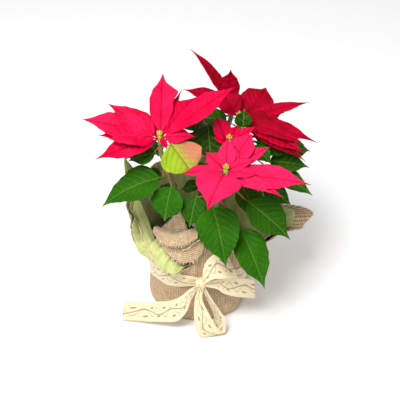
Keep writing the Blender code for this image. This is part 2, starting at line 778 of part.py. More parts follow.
def band_point(azimuth, above):
    """Place on the hessian's outside at a height above or below the tie, with the ribbon's clearance."""
    path = cloth_profile(azimuth, False)
    height = tie_height(azimuth) + above
    away = HESSIAN_THICKNESS + RIBBON_CLEARANCE
    for (r0, z0), (r1, z1) in zip(path[TIE_ROW - 2 :], path[TIE_ROW - 1 :]):
        if z0 <= height <= z1:
            return away + r0 + (r1 - r0) * (height - z0) / (z1 - z0), height
    return away + path[TIE_ROW][0], height


def make_ribbon(collection):
    """The tied ribbon: a band, a knot, two loops and two tails, as one length of ribbon."""
    band = ribbon_band(collection)
    pieces = group("ribbon_bow")
    knot = bmesh.new()
    bmesh.ops.create_uvsphere(knot, u_segments=10, v_segments=6, radius=MM)
    bmesh.ops.scale(knot, vec=KNOT_SIZE, verts=knot.verts)
    add_object("ribbon_knot", knot, pieces).location = metre(KNOT_CENTRE)
    for name, places in STRIPS.items():
        strip("ribbon_" + name, places, pieces)
    return fuse(band, pieces, material("ribbon_satin", (0.9, 0.82, 0.62), 0.45))


def main():
    """Build the whole plant in its wrapped pot."""
    for old in list(bpy.data.objects):
        bpy.data.objects.remove(old)
    plant = group("poinsettia")
    cutters = group("cutters")
    make_pot(plant)
    make_soil(plant, cutters)
    make_hessian(plant)
    make_lining(plant)
    make_ribbon(plant)
    green = material("leaf_green", (0.05, 0.2, 0.02), 0.5)
    red = material("bract_red", (0.7, 0.01, 0.06), 0.5)
    yellow = material("flower_yellow", (0.5, 0.45, 0.05), 0.5)
    for name, stem in STEMS.items():
        make_leafy_stem(name, stem, LEAVES[name], plant, green).name = name + "_leafy_stem"
        make_bloom(name, stem, BRACTS[name], plant, red)
        make_flowers(name, stem, plant, yellow)


if __name__ == "__main__":
    main()
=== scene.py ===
# %% [markdown]
# # A poinsettia in a wrapped pot
#
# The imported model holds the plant's measured solids. This lesson dresses them: fine veined bracts and
# leaves, woven hessian, crinkled green lining and a satin ribbon, all in the same place as the solids.
# Lengths in the tables are millimetres and angles are degrees. Azimuth 0 points along +X, 90 to the back
# and 270 to the front, where the camera stands.

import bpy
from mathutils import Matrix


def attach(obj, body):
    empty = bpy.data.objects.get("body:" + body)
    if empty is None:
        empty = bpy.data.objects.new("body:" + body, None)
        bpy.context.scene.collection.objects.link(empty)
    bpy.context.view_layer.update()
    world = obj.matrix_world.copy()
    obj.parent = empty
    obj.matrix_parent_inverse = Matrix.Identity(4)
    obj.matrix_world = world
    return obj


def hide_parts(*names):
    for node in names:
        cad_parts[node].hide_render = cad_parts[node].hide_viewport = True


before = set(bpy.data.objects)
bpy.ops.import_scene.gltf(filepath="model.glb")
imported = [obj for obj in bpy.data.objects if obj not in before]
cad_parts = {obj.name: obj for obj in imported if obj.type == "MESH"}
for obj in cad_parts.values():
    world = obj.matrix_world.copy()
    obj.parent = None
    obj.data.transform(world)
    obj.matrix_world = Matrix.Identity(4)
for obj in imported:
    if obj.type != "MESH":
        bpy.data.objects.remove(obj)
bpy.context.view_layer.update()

# %% Imports and units
from collections import namedtuple
from math import atan2, ceil, cos, degrees, exp, hypot, pi, radians, sin
from random import Random

import bmesh
import bpy
from mathutils import Matrix, Vector, noise

MM = 0.001
print("Blender", bpy.app.version_string, "and one unit of the tables is", MM, "m")

# %% [markdown]
# ## Places and smooth lines
#
# A plant has hardly a straight line in it. Its stems, a strip of ribbon and the edge of a cloth could all be
# curve objects. Here a smooth line through a few given places steers them instead, because a bmesh
# piece can follow it at any fineness. Places are worked out in millimetres, and turned into metres as they
# go into a mesh.


# %% Directions
def heading(azimuth, rise=0.0):
    """Return the unit vector that points to an azimuth and rises above the horizon."""
    flat = cos(radians(rise))
    return Vector((flat * cos(radians(azimuth)), flat * sin(radians(azimuth)), sin(radians(rise))))


def point_at(azimuth, radius, height):
    """A place given by its azimuth, radius and height."""
    return heading(azimuth) * radius + Vector((0, 0, height))


print("the front is at azimuth 270, towards", [round(v, 2) for v in heading(270)])


# %% A smooth line through places
def smooth_at(points, share):
    """Return a place on the smooth line through the points, from 0 at the first to 1 at the last."""
    stops = [Vector(point) for point in points]
    stops = [2 * stops[0] - stops[1]] + stops + [2 * stops[-1] - stops[-2]]
    where = min(max(share, 0.0), 1.0) * (len(stops) - 3)
    index = min(int(where), len(stops) - 4)
    t = where - index
    a, b, c, d = stops[index : index + 4]
    square = 2 * a - 5 * b + 4 * c - d
    cube = 3 * b - a - 3 * c + d
    return 0.5 * (2 * b + (c - a) * t + square * t**2 + cube * t**3)


print("a quarter of the way round a bend", smooth_at(((0, 0, 0), (1, 1, 0), (2, 0, 0)), 0.25))


# %% Limits and smooth steps
def clamp(value, low=0.0, high=1.0):
    """Hold a value between two limits."""
    return min(max(value, low), high)


def ease(value):
    """A smooth step from 0 to 1."""
    value = clamp(value)
    return value * value * (3 - 2 * value)


print("a smooth step a quarter of the way", ease(0.25))

# %% [markdown]
# ## Sheets and rods
#
# A bract, a cloth and a ribbon are all thin sheets. Each could be pulled into shape by hand or simulated,
# but here the places are known, so every sheet starts as a flat grid from `bmesh.ops.create_grid` whose
# points are then moved. Each point remembers where it lay on the flat sheet: the UV map keeps that in
# decimetres, so that veins and weaves follow the sheet in real sizes. A Solidify modifier adds the
# thickness. Stems, stalks and threads are rods: a disc from `bmesh.ops.create_circle` is extruded from
# place to place and closed, so both ends are solid.


# %% A finished piece
def add_piece(name, work, finishes):
    """Turn a bmesh into a smooth-shaded object that rides on the frame."""
    mesh = bpy.data.meshes.new(name)
    work.to_mesh(mesh)
    work.free()
    made = bpy.data.objects.new(name, mesh)
    bpy.context.scene.collection.objects.link(made)
    for finish in finishes:
        mesh.materials.append(finish)
    mesh.shade_smooth()
    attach(made, "root")
    return made


# %% Sheets
def grid_into(work, across_count, along_count, place_of, finish=0):
    """Add a grid to a bmesh. place_of(u, v) gives each point's place and its place on the flat sheet."""
    flat = work.loops.layers.uv.get("cut") or work.loops.layers.uv.new("cut")
    made = bmesh.ops.create_grid(work, x_segments=across_count, y_segments=along_count, size=1.0)
    cut_place = {}
    for vert in made["verts"]:
        place, cut_place[vert] = place_of((vert.co.x + 1) / 2, (vert.co.y + 1) / 2)
        vert.co = place * MM
    for face in {face for vert in made["verts"] for face in vert.link_faces}:
        face.material_index = finish
        for loop in face.loops:
            loop[flat].uv = cut_place[loop.vert]
    return made["verts"]


def thicken(thing, thickness, offset=0.0):
    """Give an open sheet its real thickness."""
    wall = thing.modifiers.new("Thickness", "SOLIDIFY")
    wall.thickness = thickness * MM
    wall.offset = offset
    wall.use_even_offset = False


trial = bmesh.new()
grid_into(trial, 4, 3, lambda u, v: (Vector((u, v, 0)), (u, v)))
print("a sheet of 4 by 3 has", len(trial.faces), "faces")
trial.free()


# %% Rods
def rod_into(work, points, radii, sides, finish=0):
    """Draw a round rod through points: a disc at the start, extruded to each next point and closed."""
    frames = []
    for index, point in enumerate(points):
        way = points[min(index + 1, len(points) - 1)] - points[max(index - 1, 0)]
        turn = way.to_track_quat("Z", "Y").to_matrix().to_4x4()
        frames.append(Matrix.Translation(point * MM) @ turn @ Matrix.Scale(radii[index] * MM, 4))
    disc = bmesh.ops.create_circle(work, cap_ends=True, segments=sides, radius=1.0, matrix=frames[0])
    edges = disc["verts"][0].link_faces[0].edges[:]
    made = disc["verts"][:]
    for before, after in zip(frames, frames[1:]):
        drawn = bmesh.ops.extrude_edge_only(work, edges=edges)["geom"]
        verts = [part for part in drawn if isinstance(part, bmesh.types.BMVert)]
        edges = [part for part in drawn if isinstance(part, bmesh.types.BMEdge)]
        bmesh.ops.transform(work, matrix=after @ before.inverted(), verts=verts)
        made += verts
    bmesh.ops.edgeloop_fill(work, edges=edges)
    faces = list(dict.fromkeys(face for vert in made for face in vert.link_faces))
    bmesh.ops.recalc_face_normals(work, faces=faces)
    for face in faces:
        face.material_index = finish


trial = bmesh.new()
rod_into(trial, [Vector((0, 0, height)) for height in (0, 5, 10)], (2, 2, 1), 12)
print("a rod of 12 sides through 3 places has", len(trial.faces), "faces")
trial.free()

# %% [markdown]
# ## Finishes from nodes
#
# A finish here is a Principled shader with procedural nodes, because a picture of a leaf or a weave would
# stretch and blur, while nodes stay sharp at any distance. Laid out by hand in the editor they are hard to
# repeat, so short helpers do it: one adds a node, one does a sum, one mixes two colours and one makes a
# bump. Every pattern reads Object coordinates or the piece's own UV map, so it stays where it is when the
# object is moved or baked.


# %% Materials and nodes
def new_finish(name, roughness=0.6, **sockets):
    """Make a Principled material. Values that are the same all over go straight on its sockets."""
    made = bpy.data.materials.new(name)
    made.use_nodes = True
    shader = made.node_tree.nodes["Principled BSDF"]
    shader.inputs["Roughness"].default_value = roughness
    for socket, value in sockets.items():
        shader.inputs[socket.replace("_", " ")].default_value = value
    return made


def shader_of(finish):
    """Return the material's Principled shader."""
    return finish.node_tree.nodes["Principled BSDF"]


def wire(finish, kind, inputs=None, **settings):
    """Add a node, with its settings, and connect or fill its inputs."""
    made = finish.node_tree.nodes.new("ShaderNode" + kind)
    for name, value in settings.items():
        setattr(made, name, value)
    for key, value in (inputs or {}).items():
        if isinstance(value, bpy.types.NodeSocket):
            finish.node_tree.links.new(value, made.inputs[key])
        else:
            made.inputs[key].default_value = value
    return made


# %% Sums, mixes and steps
def sum_of(finish, operation, first, second=0.0, third=0.0):
    """Do one piece of arithmetic with a Math node."""
    inputs = {0: first, 1: second, 2: third}
    return wire(finish, "Math", inputs, operation=operation).outputs[0]


def blend_of(finish, factor, first, second, kind="MIX"):
    """Mix two colours."""
    inputs = {0: factor, 6: first, 7: second}
    return wire(finish, "Mix", inputs, data_type="RGBA", blend_type=kind).outputs[2]


def step_of(finish, value, low, high):
    """A smooth step from 0 at low to 1 at high."""
    inputs = {0: value, 1: low, 2: high, 3: 0.0, 4: 1.0}
    return wire(finish, "MapRange", inputs, interpolation_type="SMOOTHSTEP").outputs[0]


def noise_of(finish, coordinates, scale, detail=2.0, distortion=0.0):
    """A noise value, about 0.5 on average."""
    inputs = {"Vector": coordinates, "Scale": scale, "Detail": detail, "Distortion": distortion}
    return wire(finish, "TexNoise", inputs).outputs[0]


# %% Coordinates
def cut_coordinates(finish):
    """The piece's own UV map, in decimetres of the flat sheet, as a vector and its two numbers."""
    flat = wire(finish, "UVMap", uv_map="cut").outputs[0]
    parts = wire(finish, "SeparateXYZ", {0: flat})
    return flat, parts.outputs[0], parts.outputs[1]


def place_coordinates(finish):
    """Object coordinates, in metres."""
    return wire(finish, "TexCoord").outputs["Object"]


# %% Colour, roughness and relief
def raise_with(finish, height, distance, strength=1.0, under=None):
    """Bump a surface by a height from 0 to 1, over a real distance in millimetres."""
    inputs = {"Height": height, "Distance": distance * MM, "Strength": strength}
    if under:
        inputs["Normal"] = under
    return wire(finish, "Bump", inputs).outputs[0]


def colour_with(finish, colour):
    """Connect a colour to the shader."""
    finish.node_tree.links.new(colour, shader_of(finish).inputs["Base Color"])


def roughen_with(finish, value):
    """Connect a roughness to the shader."""
    finish.node_tree.links.new(value, shader_of(finish).inputs["Roughness"])


def relief_with(finish, normal):
    """Connect a bumped normal to the shader."""
    finish.node_tree.links.new(normal, shader_of(finish).inputs["Normal"])


# %% [markdown]
# ## The lines of the stems
#
# Five rooted stems stand in the pot. Each rises straight out of the soil, curves towards its own side and
# turns upright again under its bloom. A stem could be drawn freely as a curve, but leaf stalks have to meet
# it at known heights, so its middle line is one function: straight in the soil, a cubic curve above it,
# and a short straight nape under the head. The numbers below are those of the solids.

# %% Stem lines
SOIL_HEIGHT = 105.9
STEM_FOOT = 70.2
STEM_COLLAR = 113.9
STEM_BURIED = 0.2
STEM_NAPE = 0.9
NAPE_LENGTH = 8.0
KNEE_RISE = 0.5
WRIST_DROP = 0.2
NECK_DEPTH = 10.0
NECK_GAP = 0.3
Stem = namedtuple("Stem", "root head")
STEMS = {
    "left": Stem((-24, -6), (-54, -15, 298)),
    "front": Stem((12, -27), (38, -55, 268)),
    "middle": Stem((8, 2), (44, 5, 278)),
    "right": Stem((33, 16), (60, 55, 286)),
    "back": Stem((-2, 33), (50, 90, 290)),
}


def stem_point(stem, share):
    """Return the place on a stem's middle line, from its foot in the soil to its head."""
    foot = Vector((*stem.root, STEM_FOOT))
    collar = Vector((*stem.root, STEM_COLLAR))
    head = Vector(stem.head) - Vector((0, 0, NECK_DEPTH / 2 + NECK_GAP))
    nape = head - Vector((0, 0, NAPE_LENGTH))
    if share <= STEM_BURIED:
        return foot.lerp(collar, share / STEM_BURIED)
    if share >= STEM_NAPE:
        return nape.lerp(head, (share - STEM_NAPE) / (1 - STEM_NAPE))
    climb = nape.z - collar.z
    knee = collar + Vector((0, 0, KNEE_RISE * climb))
    wrist = nape - Vector((0, 0, WRIST_DROP * climb))
    t = (share - STEM_BURIED) / (STEM_NAPE - STEM_BURIED)
    start = collar * (1 - t) ** 3 + knee * 3 * t * (1 - t) ** 2
    return start + wrist * 3 * t * t * (1 - t) + nape * t**3


print("stems", len(STEMS), "heads at", [stem.head for stem in STEMS.values()])

# %% [markdown]
# ## The shape of a blade
#
# Bracts and leaves have the same build: a midrib, side veins that run forward to the edge, and cushions of
# blade that swell between the veins. Sculpting each of the eighty blades would take days, and copies of one
# would look stamped. So one function gives the place of any point on a blade, from its base to its tip and
# from edge to edge, out of a few numbers for that blade. The large form is the solid's: an outline, an arch
# along the midrib and a fold across it. The relief of the veins is laid on top.

# %% What describes a blade
Blade = namedtuple(
    "Blade",
    "turn rise reach half arch roll fold belly lobe sway",
    defaults=(0.06, 0.0, 0.12, 0.36, 0.0, 0.0),
)
STALK_SHARE = 0.1
SIDE_TILT = 18.0
print("a blade has", len(Blade._fields), "numbers:", *Blade._fields)

# %% Outline of a blade
LOBE_PLACE = 0.72
LOBE_SPREAD = 0.09
TIP_START = 0.7
TIP_SPREAD = 0.25
TIP_NARROWING = 0.5
STALK_HALF = 1.3
TIP_HALF = 0.25


def outline(share, belly):
    """Half width of a blade along its length, as a share of its widest place, the belly."""
    rise, fall = 1.75 * belly, 1.75 * (1 - belly)
    return (max(share, 0.0) / belly) ** rise * (max(1 - share, 0.0) / (1 - belly)) ** fall


def half_width(blade, along, across):
    """Half width in millimetres: the outline, a lobe on one side and a tip that is drawn out."""
    half = blade.half * outline((along - STALK_SHARE) / (1 - STALK_SHARE), blade.belly)
    if across * blade.lobe > 0:
        half += abs(blade.lobe) * blade.half * exp(-(((along - LOBE_PLACE) / LOBE_SPREAD) ** 2))
    half *= 1 - TIP_NARROWING * ease((along - TIP_START) / TIP_SPREAD)
    return max(half, STALK_HALF if along < 0.5 else TIP_HALF)


sample = Blade(0, 0, 90, 20)
print("half widths along a blade", [round(half_width(sample, share / 4, 0), 1) for share in range(5)])

# %% Veins and relief of a blade
VEIN_PITCH = 10.0
VEIN_SLANT = 0.6
VEIN_CURVE = 0.012
EDGE_WAVE = 0.1
EDGE_WAVES = 1.6
MIDRIB_HALF = 1.6
UNEVEN_SCALE = 0.09


def vein_angle(start, away, across):
    """Where a point lies between two side veins, as an angle. The veins of the two halves alternate."""
    return 2 * pi * (start - VEIN_SLANT * away - VEIN_CURVE * away**2) / VEIN_PITCH + (across > 0) * pi


def blade_axes(blade):
    """Return the directions ahead, to the side and up on a blade that leans a little to its own side."""
    ahead = heading(blade.turn, blade.rise)
    side = Vector((-sin(radians(blade.turn)), cos(radians(blade.turn)), 0.0))
    up = ahead.cross(side)
    tilt = radians(blade.roll + SIDE_TILT * cos(radians(blade.turn)))
    return ahead, side * cos(tilt) + up * sin(tilt), up * cos(tilt) - side * sin(tilt)


def blade_point(blade, base, along, across, phase, relief):
    """Return a place on a blade and its place on the flat blade, in decimetres."""
    ahead, side, up = blade_axes(blade)
    half = half_width(blade, along, across)
    away = abs(across) * half
    bulge = 4 * along * (1 - along)
    wave = EDGE_WAVE * blade.half * sin(2 * pi * (EDGE_WAVES * along + phase) + across) * abs(across) * bulge
    lift = blade.arch * blade.reach * bulge + blade.fold * away + wave
    start = along * blade.reach + 3 * VEIN_PITCH * phase
    vein = vein_angle(start, away, across)
    body = min(half / 10.0, 1.0) * (1 - abs(across) ** 6)
    lift += relief * body * (0.5 - 0.5 * cos(vein)) * ease(away / 4.0)
    lift -= 0.5 * relief * body * exp(-((away / MIDRIB_HALF) ** 2))
    uneven = noise.noise(Vector((along * blade.reach, away, 17.0 * phase)) * UNEVEN_SCALE)
    lift += 0.6 * relief * uneven * body
    edge = 1 + 0.025 * sin(0.5 * vein + 1) * abs(across) ** 8
    sway = blade.sway * blade.reach * bulge
    place = base + ahead * blade.reach * along + side * (across * half * edge + sway) + up * lift
    return place, (start / 100, 0.5 + across * half / 100)


print("the tip of a blade", blade_point(sample, Vector(), 1.0, 0.0, 0.0, 1.0)[0])

# %% Blades into a mesh
GRID_ALONG = 1.7
GRID_ACROSS = 2.4


def blade_into(work, blade, base, phase, relief, finish=0, tint_and_shading=0.5):
    """Add a finely divided blade to a bmesh. Its points keep the blade's tint and painted shading for the
    finish.
    """
    along_count = max(20, ceil(blade.reach / GRID_ALONG))
    across_count = max(8, 2 * ceil(blade.half / GRID_ACROSS))

    def place_of(u, v):
        return blade_point(blade, base, u, 2 * v - 1, phase, relief)

    shade = work.verts.layers.float.get("tint_and_shading") or work.verts.layers.float.new("tint_and_shading")
    for vert in grid_into(work, along_count, across_count, place_of, finish):
        vert[shade] = tint_and_shading


trial = bmesh.new()
blade_into(trial, sample, Vector(), 0.0, 1.0)
print("a blade", sample.reach, "mm long has", len(trial.faces), "faces")
trial.free()

# %% [markdown]
# ## Finishes of bracts and leaves
#
# A bract is a coloured leaf. Its skin is matt with a soft shine on the cushions between the veins, and the
# red turns deeper along the veins. A leaf is the same in green, glossier, with pale veins. The veins could
# be painted, but then they would not meet the relief of the mesh. So the nodes repeat the sum that placed
# them there, on the UV map, where one unit is a decimetre of blade. Each blade's tint and a slow noise choose
# between three shades. The tint paints light and shade by bloom and by stem: deep away from the lamp and
# bright facing it. The noise and a small random spread make no two bracts quite the same red.


# %% Veins as values
def vein_values(finish):
    """Return how near a point is to a side vein and to the midrib, each from 0 to 1."""
    flat, along, across = cut_coordinates(finish)
    away = sum_of(finish, "ABSOLUTE", sum_of(finish, "SUBTRACT", across, 0.5))
    curved = sum_of(finish, "MULTIPLY_ADD", away, 100 * VEIN_CURVE, VEIN_SLANT)
    slanted = sum_of(finish, "SUBTRACT", along, sum_of(finish, "MULTIPLY", away, curved))
    far_side = sum_of(finish, "GREATER_THAN", across, 0.5)
    slanted = sum_of(finish, "MULTIPLY_ADD", far_side, VEIN_PITCH / 200, slanted)
    wander = noise_of(finish, flat, 22.0, 2.0)
    slanted = sum_of(finish, "MULTIPLY_ADD", wander, 0.025, slanted)
    wave = sum_of(finish, "PINGPONG", sum_of(finish, "MULTIPLY", slanted, 200.0 / VEIN_PITCH), 1.0)
    side = step_of(finish, wave, 0.16, 0.02)
    side = sum_of(finish, "MULTIPLY", side, step_of(finish, noise_of(finish, flat, 9.0, 2.0), 0.2, 0.65))
    middle = step_of(finish, away, 0.012, 0.004)
    return flat, side, middle


def net_value(finish, flat, cells):
    """The fine net of veins between the side veins: 1 on its lines, 0 in the middle of its cells."""
    inputs = {"Vector": flat, "Scale": cells}
    net = wire(finish, "TexVoronoi", inputs, feature="DISTANCE_TO_EDGE").outputs["Distance"]
    return step_of(finish, net, 0.16, 0.0)


# %% Blade finish
NET_CELLS = 30.0


def blade_finish(name, deep, middling, bright, vein, vein_share, roughness, gloss):
    """Make a blade's finish: three shades by tint, painted shading and patch, veins, fine skin bump and a
    soft gloss.
    """
    made = new_finish(name, roughness, Specular_IOR_Level=gloss)
    flat, side, middle = vein_values(made)
    place = place_coordinates(made)
    patch = noise_of(made, place, 38.0, 4.0)
    # This attribute is each blade's tint with its painted shading: low away from the lamp, high facing it.
    tint_and_shading = wire(made, "Attribute", attribute_name="tint_and_shading").outputs["Fac"]
    share = sum_of(made, "MULTIPLY_ADD", patch, 0.5, sum_of(made, "SUBTRACT", tint_and_shading, 0.25))
    colour = blend_of(made, step_of(made, share, 0.0, 0.5), deep, middling)
    colour = blend_of(made, step_of(made, share, 0.5, 1.0), colour, bright)
    lines = sum_of(made, "MAXIMUM", sum_of(made, "MULTIPLY", side, 0.7), middle)
    net = net_value(made, flat, NET_CELLS)
    colour = blend_of(made, sum_of(made, "MULTIPLY", net, 0.22 * vein_share), colour, vein)
    colour = blend_of(made, sum_of(made, "MULTIPLY", lines, vein_share), colour, vein)
    colour_with(made, colour)
    skin = noise_of(made, flat, 160.0, 3.0)
    cushion = noise_of(made, flat, 26.0, 3.0, 0.6)
    normal = raise_with(made, sum_of(made, "SUBTRACT", 1.0, lines), 0.5, 0.8)
    normal = raise_with(made, sum_of(made, "SUBTRACT", 1.0, net), 0.25, 0.6, normal)
    normal = raise_with(made, cushion, 1.4, 0.7, normal)
    normal = raise_with(made, skin, 0.12, 0.5, normal)
    relief_with(made, normal)
    roughen_with(made, sum_of(made, "ADD", roughness - 0.1, sum_of(made, "MULTIPLY", patch, 0.2)))
    return made


# %% Bract, leaf and turning leaf
# Deep paints the shade on blades away from the lamp and bright paints the light on those facing it; the patch
# noise also mixes them as random tone.
BRACT = blade_finish(
    "bract_red",
    deep=(0.22, 0.0, 0.006, 1),
    middling=(0.56, 0.0, 0.034, 1),
    bright=(0.76, 0.016, 0.1, 1),
    vein=(0.27, 0.0, 0.014, 1),
    vein_share=0.6,
    roughness=0.6,
    gloss=0.04,
)
LEAF = blade_finish(
    "leaf_green",
    deep=(0.008, 0.02, 0.0, 1),
    middling=(0.01, 0.075, 0.0, 1),
    bright=(0.018, 0.14, 0.0, 1),
    vein=(0.13, 0.25, 0.03, 1),
    vein_share=0.55,
    roughness=0.34,
    gloss=0.05,
)
TURNING = blade_finish(
    "leaf_turning",
    deep=(0.1, 0.2, 0.006, 1),
    middling=(0.25, 0.4, 0.014, 1),
    bright=(0.42, 0.55, 0.05, 1),
    vein=(0.22, 0.07, 0.03, 1),
    vein_share=0.7,
    roughness=0.5,
    gloss=0.08,
)
print("blade finishes", BRACT.name, LEAF.name, TURNING.name)

# %% [markdown]
# ### The blush of the turning leaf
#
# One leaf under the left bloom is on its way from green to red, as leaves next to the bracts often are. It
# could have a finish of its own from the start. It is simpler to take the colour that the leaf has so far
# and to mix pink over it where two smooth steps meet: one across the leaf and one towards its base. A noise
# that is added to both makes the border ragged.

# %% Blush of the turning leaf
BLUSH = (0.5, 0.12, 0.1, 1)
turning_flat, turning_along, turning_across = cut_coordinates(TURNING)
turning_patch = sum_of(TURNING, "MULTIPLY_ADD", noise_of(TURNING, turning_flat, 14.0, 4.0), 0.36, -0.18)
turning_side = step_of(TURNING, sum_of(TURNING, "ADD", turning_across, turning_patch), 0.46, 0.66)
turning_base = step_of(TURNING, sum_of(TURNING, "ADD", turning_along, turning_patch), 0.95, 0.7)
turning_share = sum_of(TURNING, "MULTIPLY", turning_side, turning_base)
turning_green = shader_of(TURNING).inputs["Base Color"].links[0].from_socket
turning_share = sum_of(TURNING, "MULTIPLY", turning_share, 0.8)
colour_with(TURNING, blend_of(TURNING, turning_share, turning_green, BLUSH))
print("nodes of the turning leaf", len(TURNING.node_tree.nodes))

# %% [markdown]
# ## The blooms
#
# What looks like a flower is a ring of red bracts on a short neck. Copies turned round an axis would give a
# star, and a real bloom is nothing like one: its bracts differ in length and width, lean and overlap. So
# each bract has a row of its own in the table, with its azimuth, its rise above the horizon, its length,
# half width and arch, and what else is special about it.

# %% Bract table
BRACTS = {
    "left": (
        Blade(178, 15, 111, 27, 0.05),
        Blade(193, 11, 87, 21, 0.05),
        Blade(205, -5, 97, 19, 0.05),
        Blade(157, 25, 88, 21, 0.02, roll=4),
        Blade(87, 46, 93, 17, 0.02, belly=0.46, lobe=-0.5),
        Blade(66, 28, 84, 6),
        Blade(46, 27, 79, 19, belly=0.45),
        Blade(22, 27, 127, 18, 0.05, belly=0.48),
        Blade(358, 4, 50, 14),
        Blade(300, -20, 22, 5),
        Blade(125, -14, 74, 17),
    ),
    "front": (
        Blade(252, -3, 85, 31, 0.12),
        Blade(192, 6, 65, 11),
        Blade(135, 20, 43, 13),
        Blade(84, 54, 49, 13),
        Blade(62, 44, 40, 13),
        Blade(52, 28, 68, 19, belly=0.55),
        Blade(25, 18, 73, 12),
        Blade(344, 1, 119, 21, 0.04),
        Blade(8, 23, 43, 10),
        Blade(338, 8, 46, 12),
        Blade(318, -4, 61, 9),
        Blade(329, -6, 91, 10),
    ),
    "middle": (
        Blade(127, 38, 42, 14, belly=0.45),
        Blade(20, 24, 46, 9),
        Blade(190, 24, 26, 9),
        Blade(60, 34, 28, 11),
        Blade(290, 10, 26, 8),
    ),
    "right": (
        Blade(58, 10, 82, 26, 0.04, roll=4, belly=0.45, sway=-0.06),
        Blade(128, 33, 48, 20, belly=0.5),
        Blade(14, 7, 108, 12, 0.04),
        Blade(344, -4, 74, 20),
        Blade(340, -7, 120, 15),
        Blade(328, -4, 108, 14),
        Blade(326, -10, 113, 17),
        Blade(325, -15, 118, 15),
        Blade(34, -12, 88, 19),
        Blade(66, -24, 70, 18),
    ),
    "back": (
        Blade(144, 42, 104, 9.5, sway=-0.03),
        Blade(100, 76, 54, 14, -0.16, lobe=0.5),
        Blade(30, -22, 84, 18),
        Blade(112, -20, 84, 19),
        Blade(68, -22, 84, 19),
        Blade(170, 14, 77, 13),
        Blade(146, -18, 76, 17),
        Blade(5, -16, 60, 14),
    ),
}
print("bracts in each bloom", {name: len(bracts) for name, bracts in BRACTS.items()})

# %% [markdown]
# ### Seats and painted shading
#
# Each bract is seated on the neck, the longest lowest, as they grow, and is aimed so that its tip stays
# where the table puts it, measured from the head. The blooms that face the light are paler than those in
# its shade, which the lamp alone doesn't show, so each bloom also gets painted shading: painted light makes
# the front and left blooms paler, and painted shade makes the right and back blooms a deeper red.

# %% Seat the bracts
# Painted shading of each bloom: high values paint light on the blooms facing the lamp, low ones paint shade
# on the right and back.
BLOOM_PAINTED_SHADING = {"left": 0.62, "front": 0.85, "middle": 0.5, "right": 0.16, "back": 0.12}
SEAT_SPREAD = 0.7
SEAT_RADIUS = 2.0
PHASE_STEP = 0.29


def seated_bracts(head, bracts):
    """Seat each bract on the neck, the longest lowest, and point it at its tip, measured from the head."""
    longest = max(bract.reach for bract in bracts)
    seated = []
    for index, bract in enumerate(bracts):
        level = SEAT_SPREAD * NECK_DEPTH * (0.5 - bract.reach / longest)
        base = head + heading(bract.turn) * SEAT_RADIUS + Vector((0, 0, level))
        chord = head + heading(bract.turn, bract.rise) * bract.reach - base
        rise = degrees(atan2(chord.z, hypot(chord.x, chord.y)))
        seated.append((bract._replace(rise=rise, reach=chord.length), base, PHASE_STEP * index))
    return seated


print("first seat of the left bloom", seated_bracts(Vector(STEMS["left"].head), BRACTS["left"])[0][1])

# %% Make one ring of bracts
BRACT_RELIEF = 1.6
BRACT_THICKNESS = 0.6
TINT_SPREAD = 0.12


def make_bracts(name, stem):
    """All the red bracts of one bloom, as one piece."""
    draw = Random(name)
    head = Vector(stem.head)
    work = bmesh.new()
    for bract, base, phase in seated_bracts(head, BRACTS[name]):
        # A bract's tint is its bloom's painted shading plus a small random spread of its own red.
        tint_and_shading = BLOOM_PAINTED_SHADING[name] + draw.uniform(-TINT_SPREAD, TINT_SPREAD)
        blade_into(work, bract, base, phase, BRACT_RELIEF, tint_and_shading=tint_and_shading)
    made = add_piece(name + "_bracts", work, [BRACT])
    thicken(made, BRACT_THICKNESS)
    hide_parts(name + "_bloom")
    return made


# %% [markdown]
# ### Skins of stems, necks and leaf stalks
#
# A stem is brownish green where it turns woody, the neck under a bloom is fresh green and the leaf stalks
# are red. All three are the same smooth skin, so one function makes them from two colours that meet in
# patches, with a fine bump.


# %% Three plant skins
def stalk_finish(name, first, second):
    """A smooth plant skin that runs from one colour to another in patches."""
    made = new_finish(name, 0.45, Specular_IOR_Level=0.35)
    place = place_coordinates(made)
    patch = noise_of(made, place, 60.0, 3.0)
    colour_with(made, blend_of(made, step_of(made, patch, 0.3, 0.7), first, second))
    relief_with(made, raise_with(made, noise_of(made, place, 500.0, 3.0), 0.3, 0.5))
    return made


STALK = stalk_finish("stem_skin", (0.1, 0.16, 0.025, 1), (0.2, 0.17, 0.05, 1))
NECK = stalk_finish("neck_skin", (0.18, 0.34, 0.03, 1), (0.32, 0.42, 0.06, 1))
PETIOLE = stalk_finish("petiole_skin", (0.42, 0.03, 0.06, 1), (0.26, 0.12, 0.05, 1))
print("skins", STALK.name, NECK.name, PETIOLE.name)

# %% Make the necks and blooms
NECK_HEIGHTS = (-5, -3, 0, 2.5, 4.4, 5)
NECK_RADII = (2.6, 3.0, 3.4, 3.7, 3.4, 2.6)


def make_neck(name, stem):
    """The short green neck under a bloom."""
    head = Vector(stem.head)
    work = bmesh.new()
    rod_into(work, [head + Vector((0, 0, height)) for height in NECK_HEIGHTS], NECK_RADII, 20)
    made = add_piece(name + "_neck", work, [NECK])
    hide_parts(name + "_bloom")


for bloom_name, bloom_stem in STEMS.items():
    bloom = make_bracts(bloom_name, bloom_stem)
    make_neck(bloom_name, bloom_stem)
    print(bloom.name, len(bloom.data.polygons), "faces")

# %% [markdown]
# ## Leaves and leaf stalks
#
# The green leaves hang lower on each stem, on thin reddish stalks. They are blades like the bracts, so they
# come from the same function, with a deeper arch and less relief. The table says at what share of the
# stem's length a stalk starts, where its leaf begins and what blade it carries. Young leaves fill the
# middle of the plant, where a real one is dense.

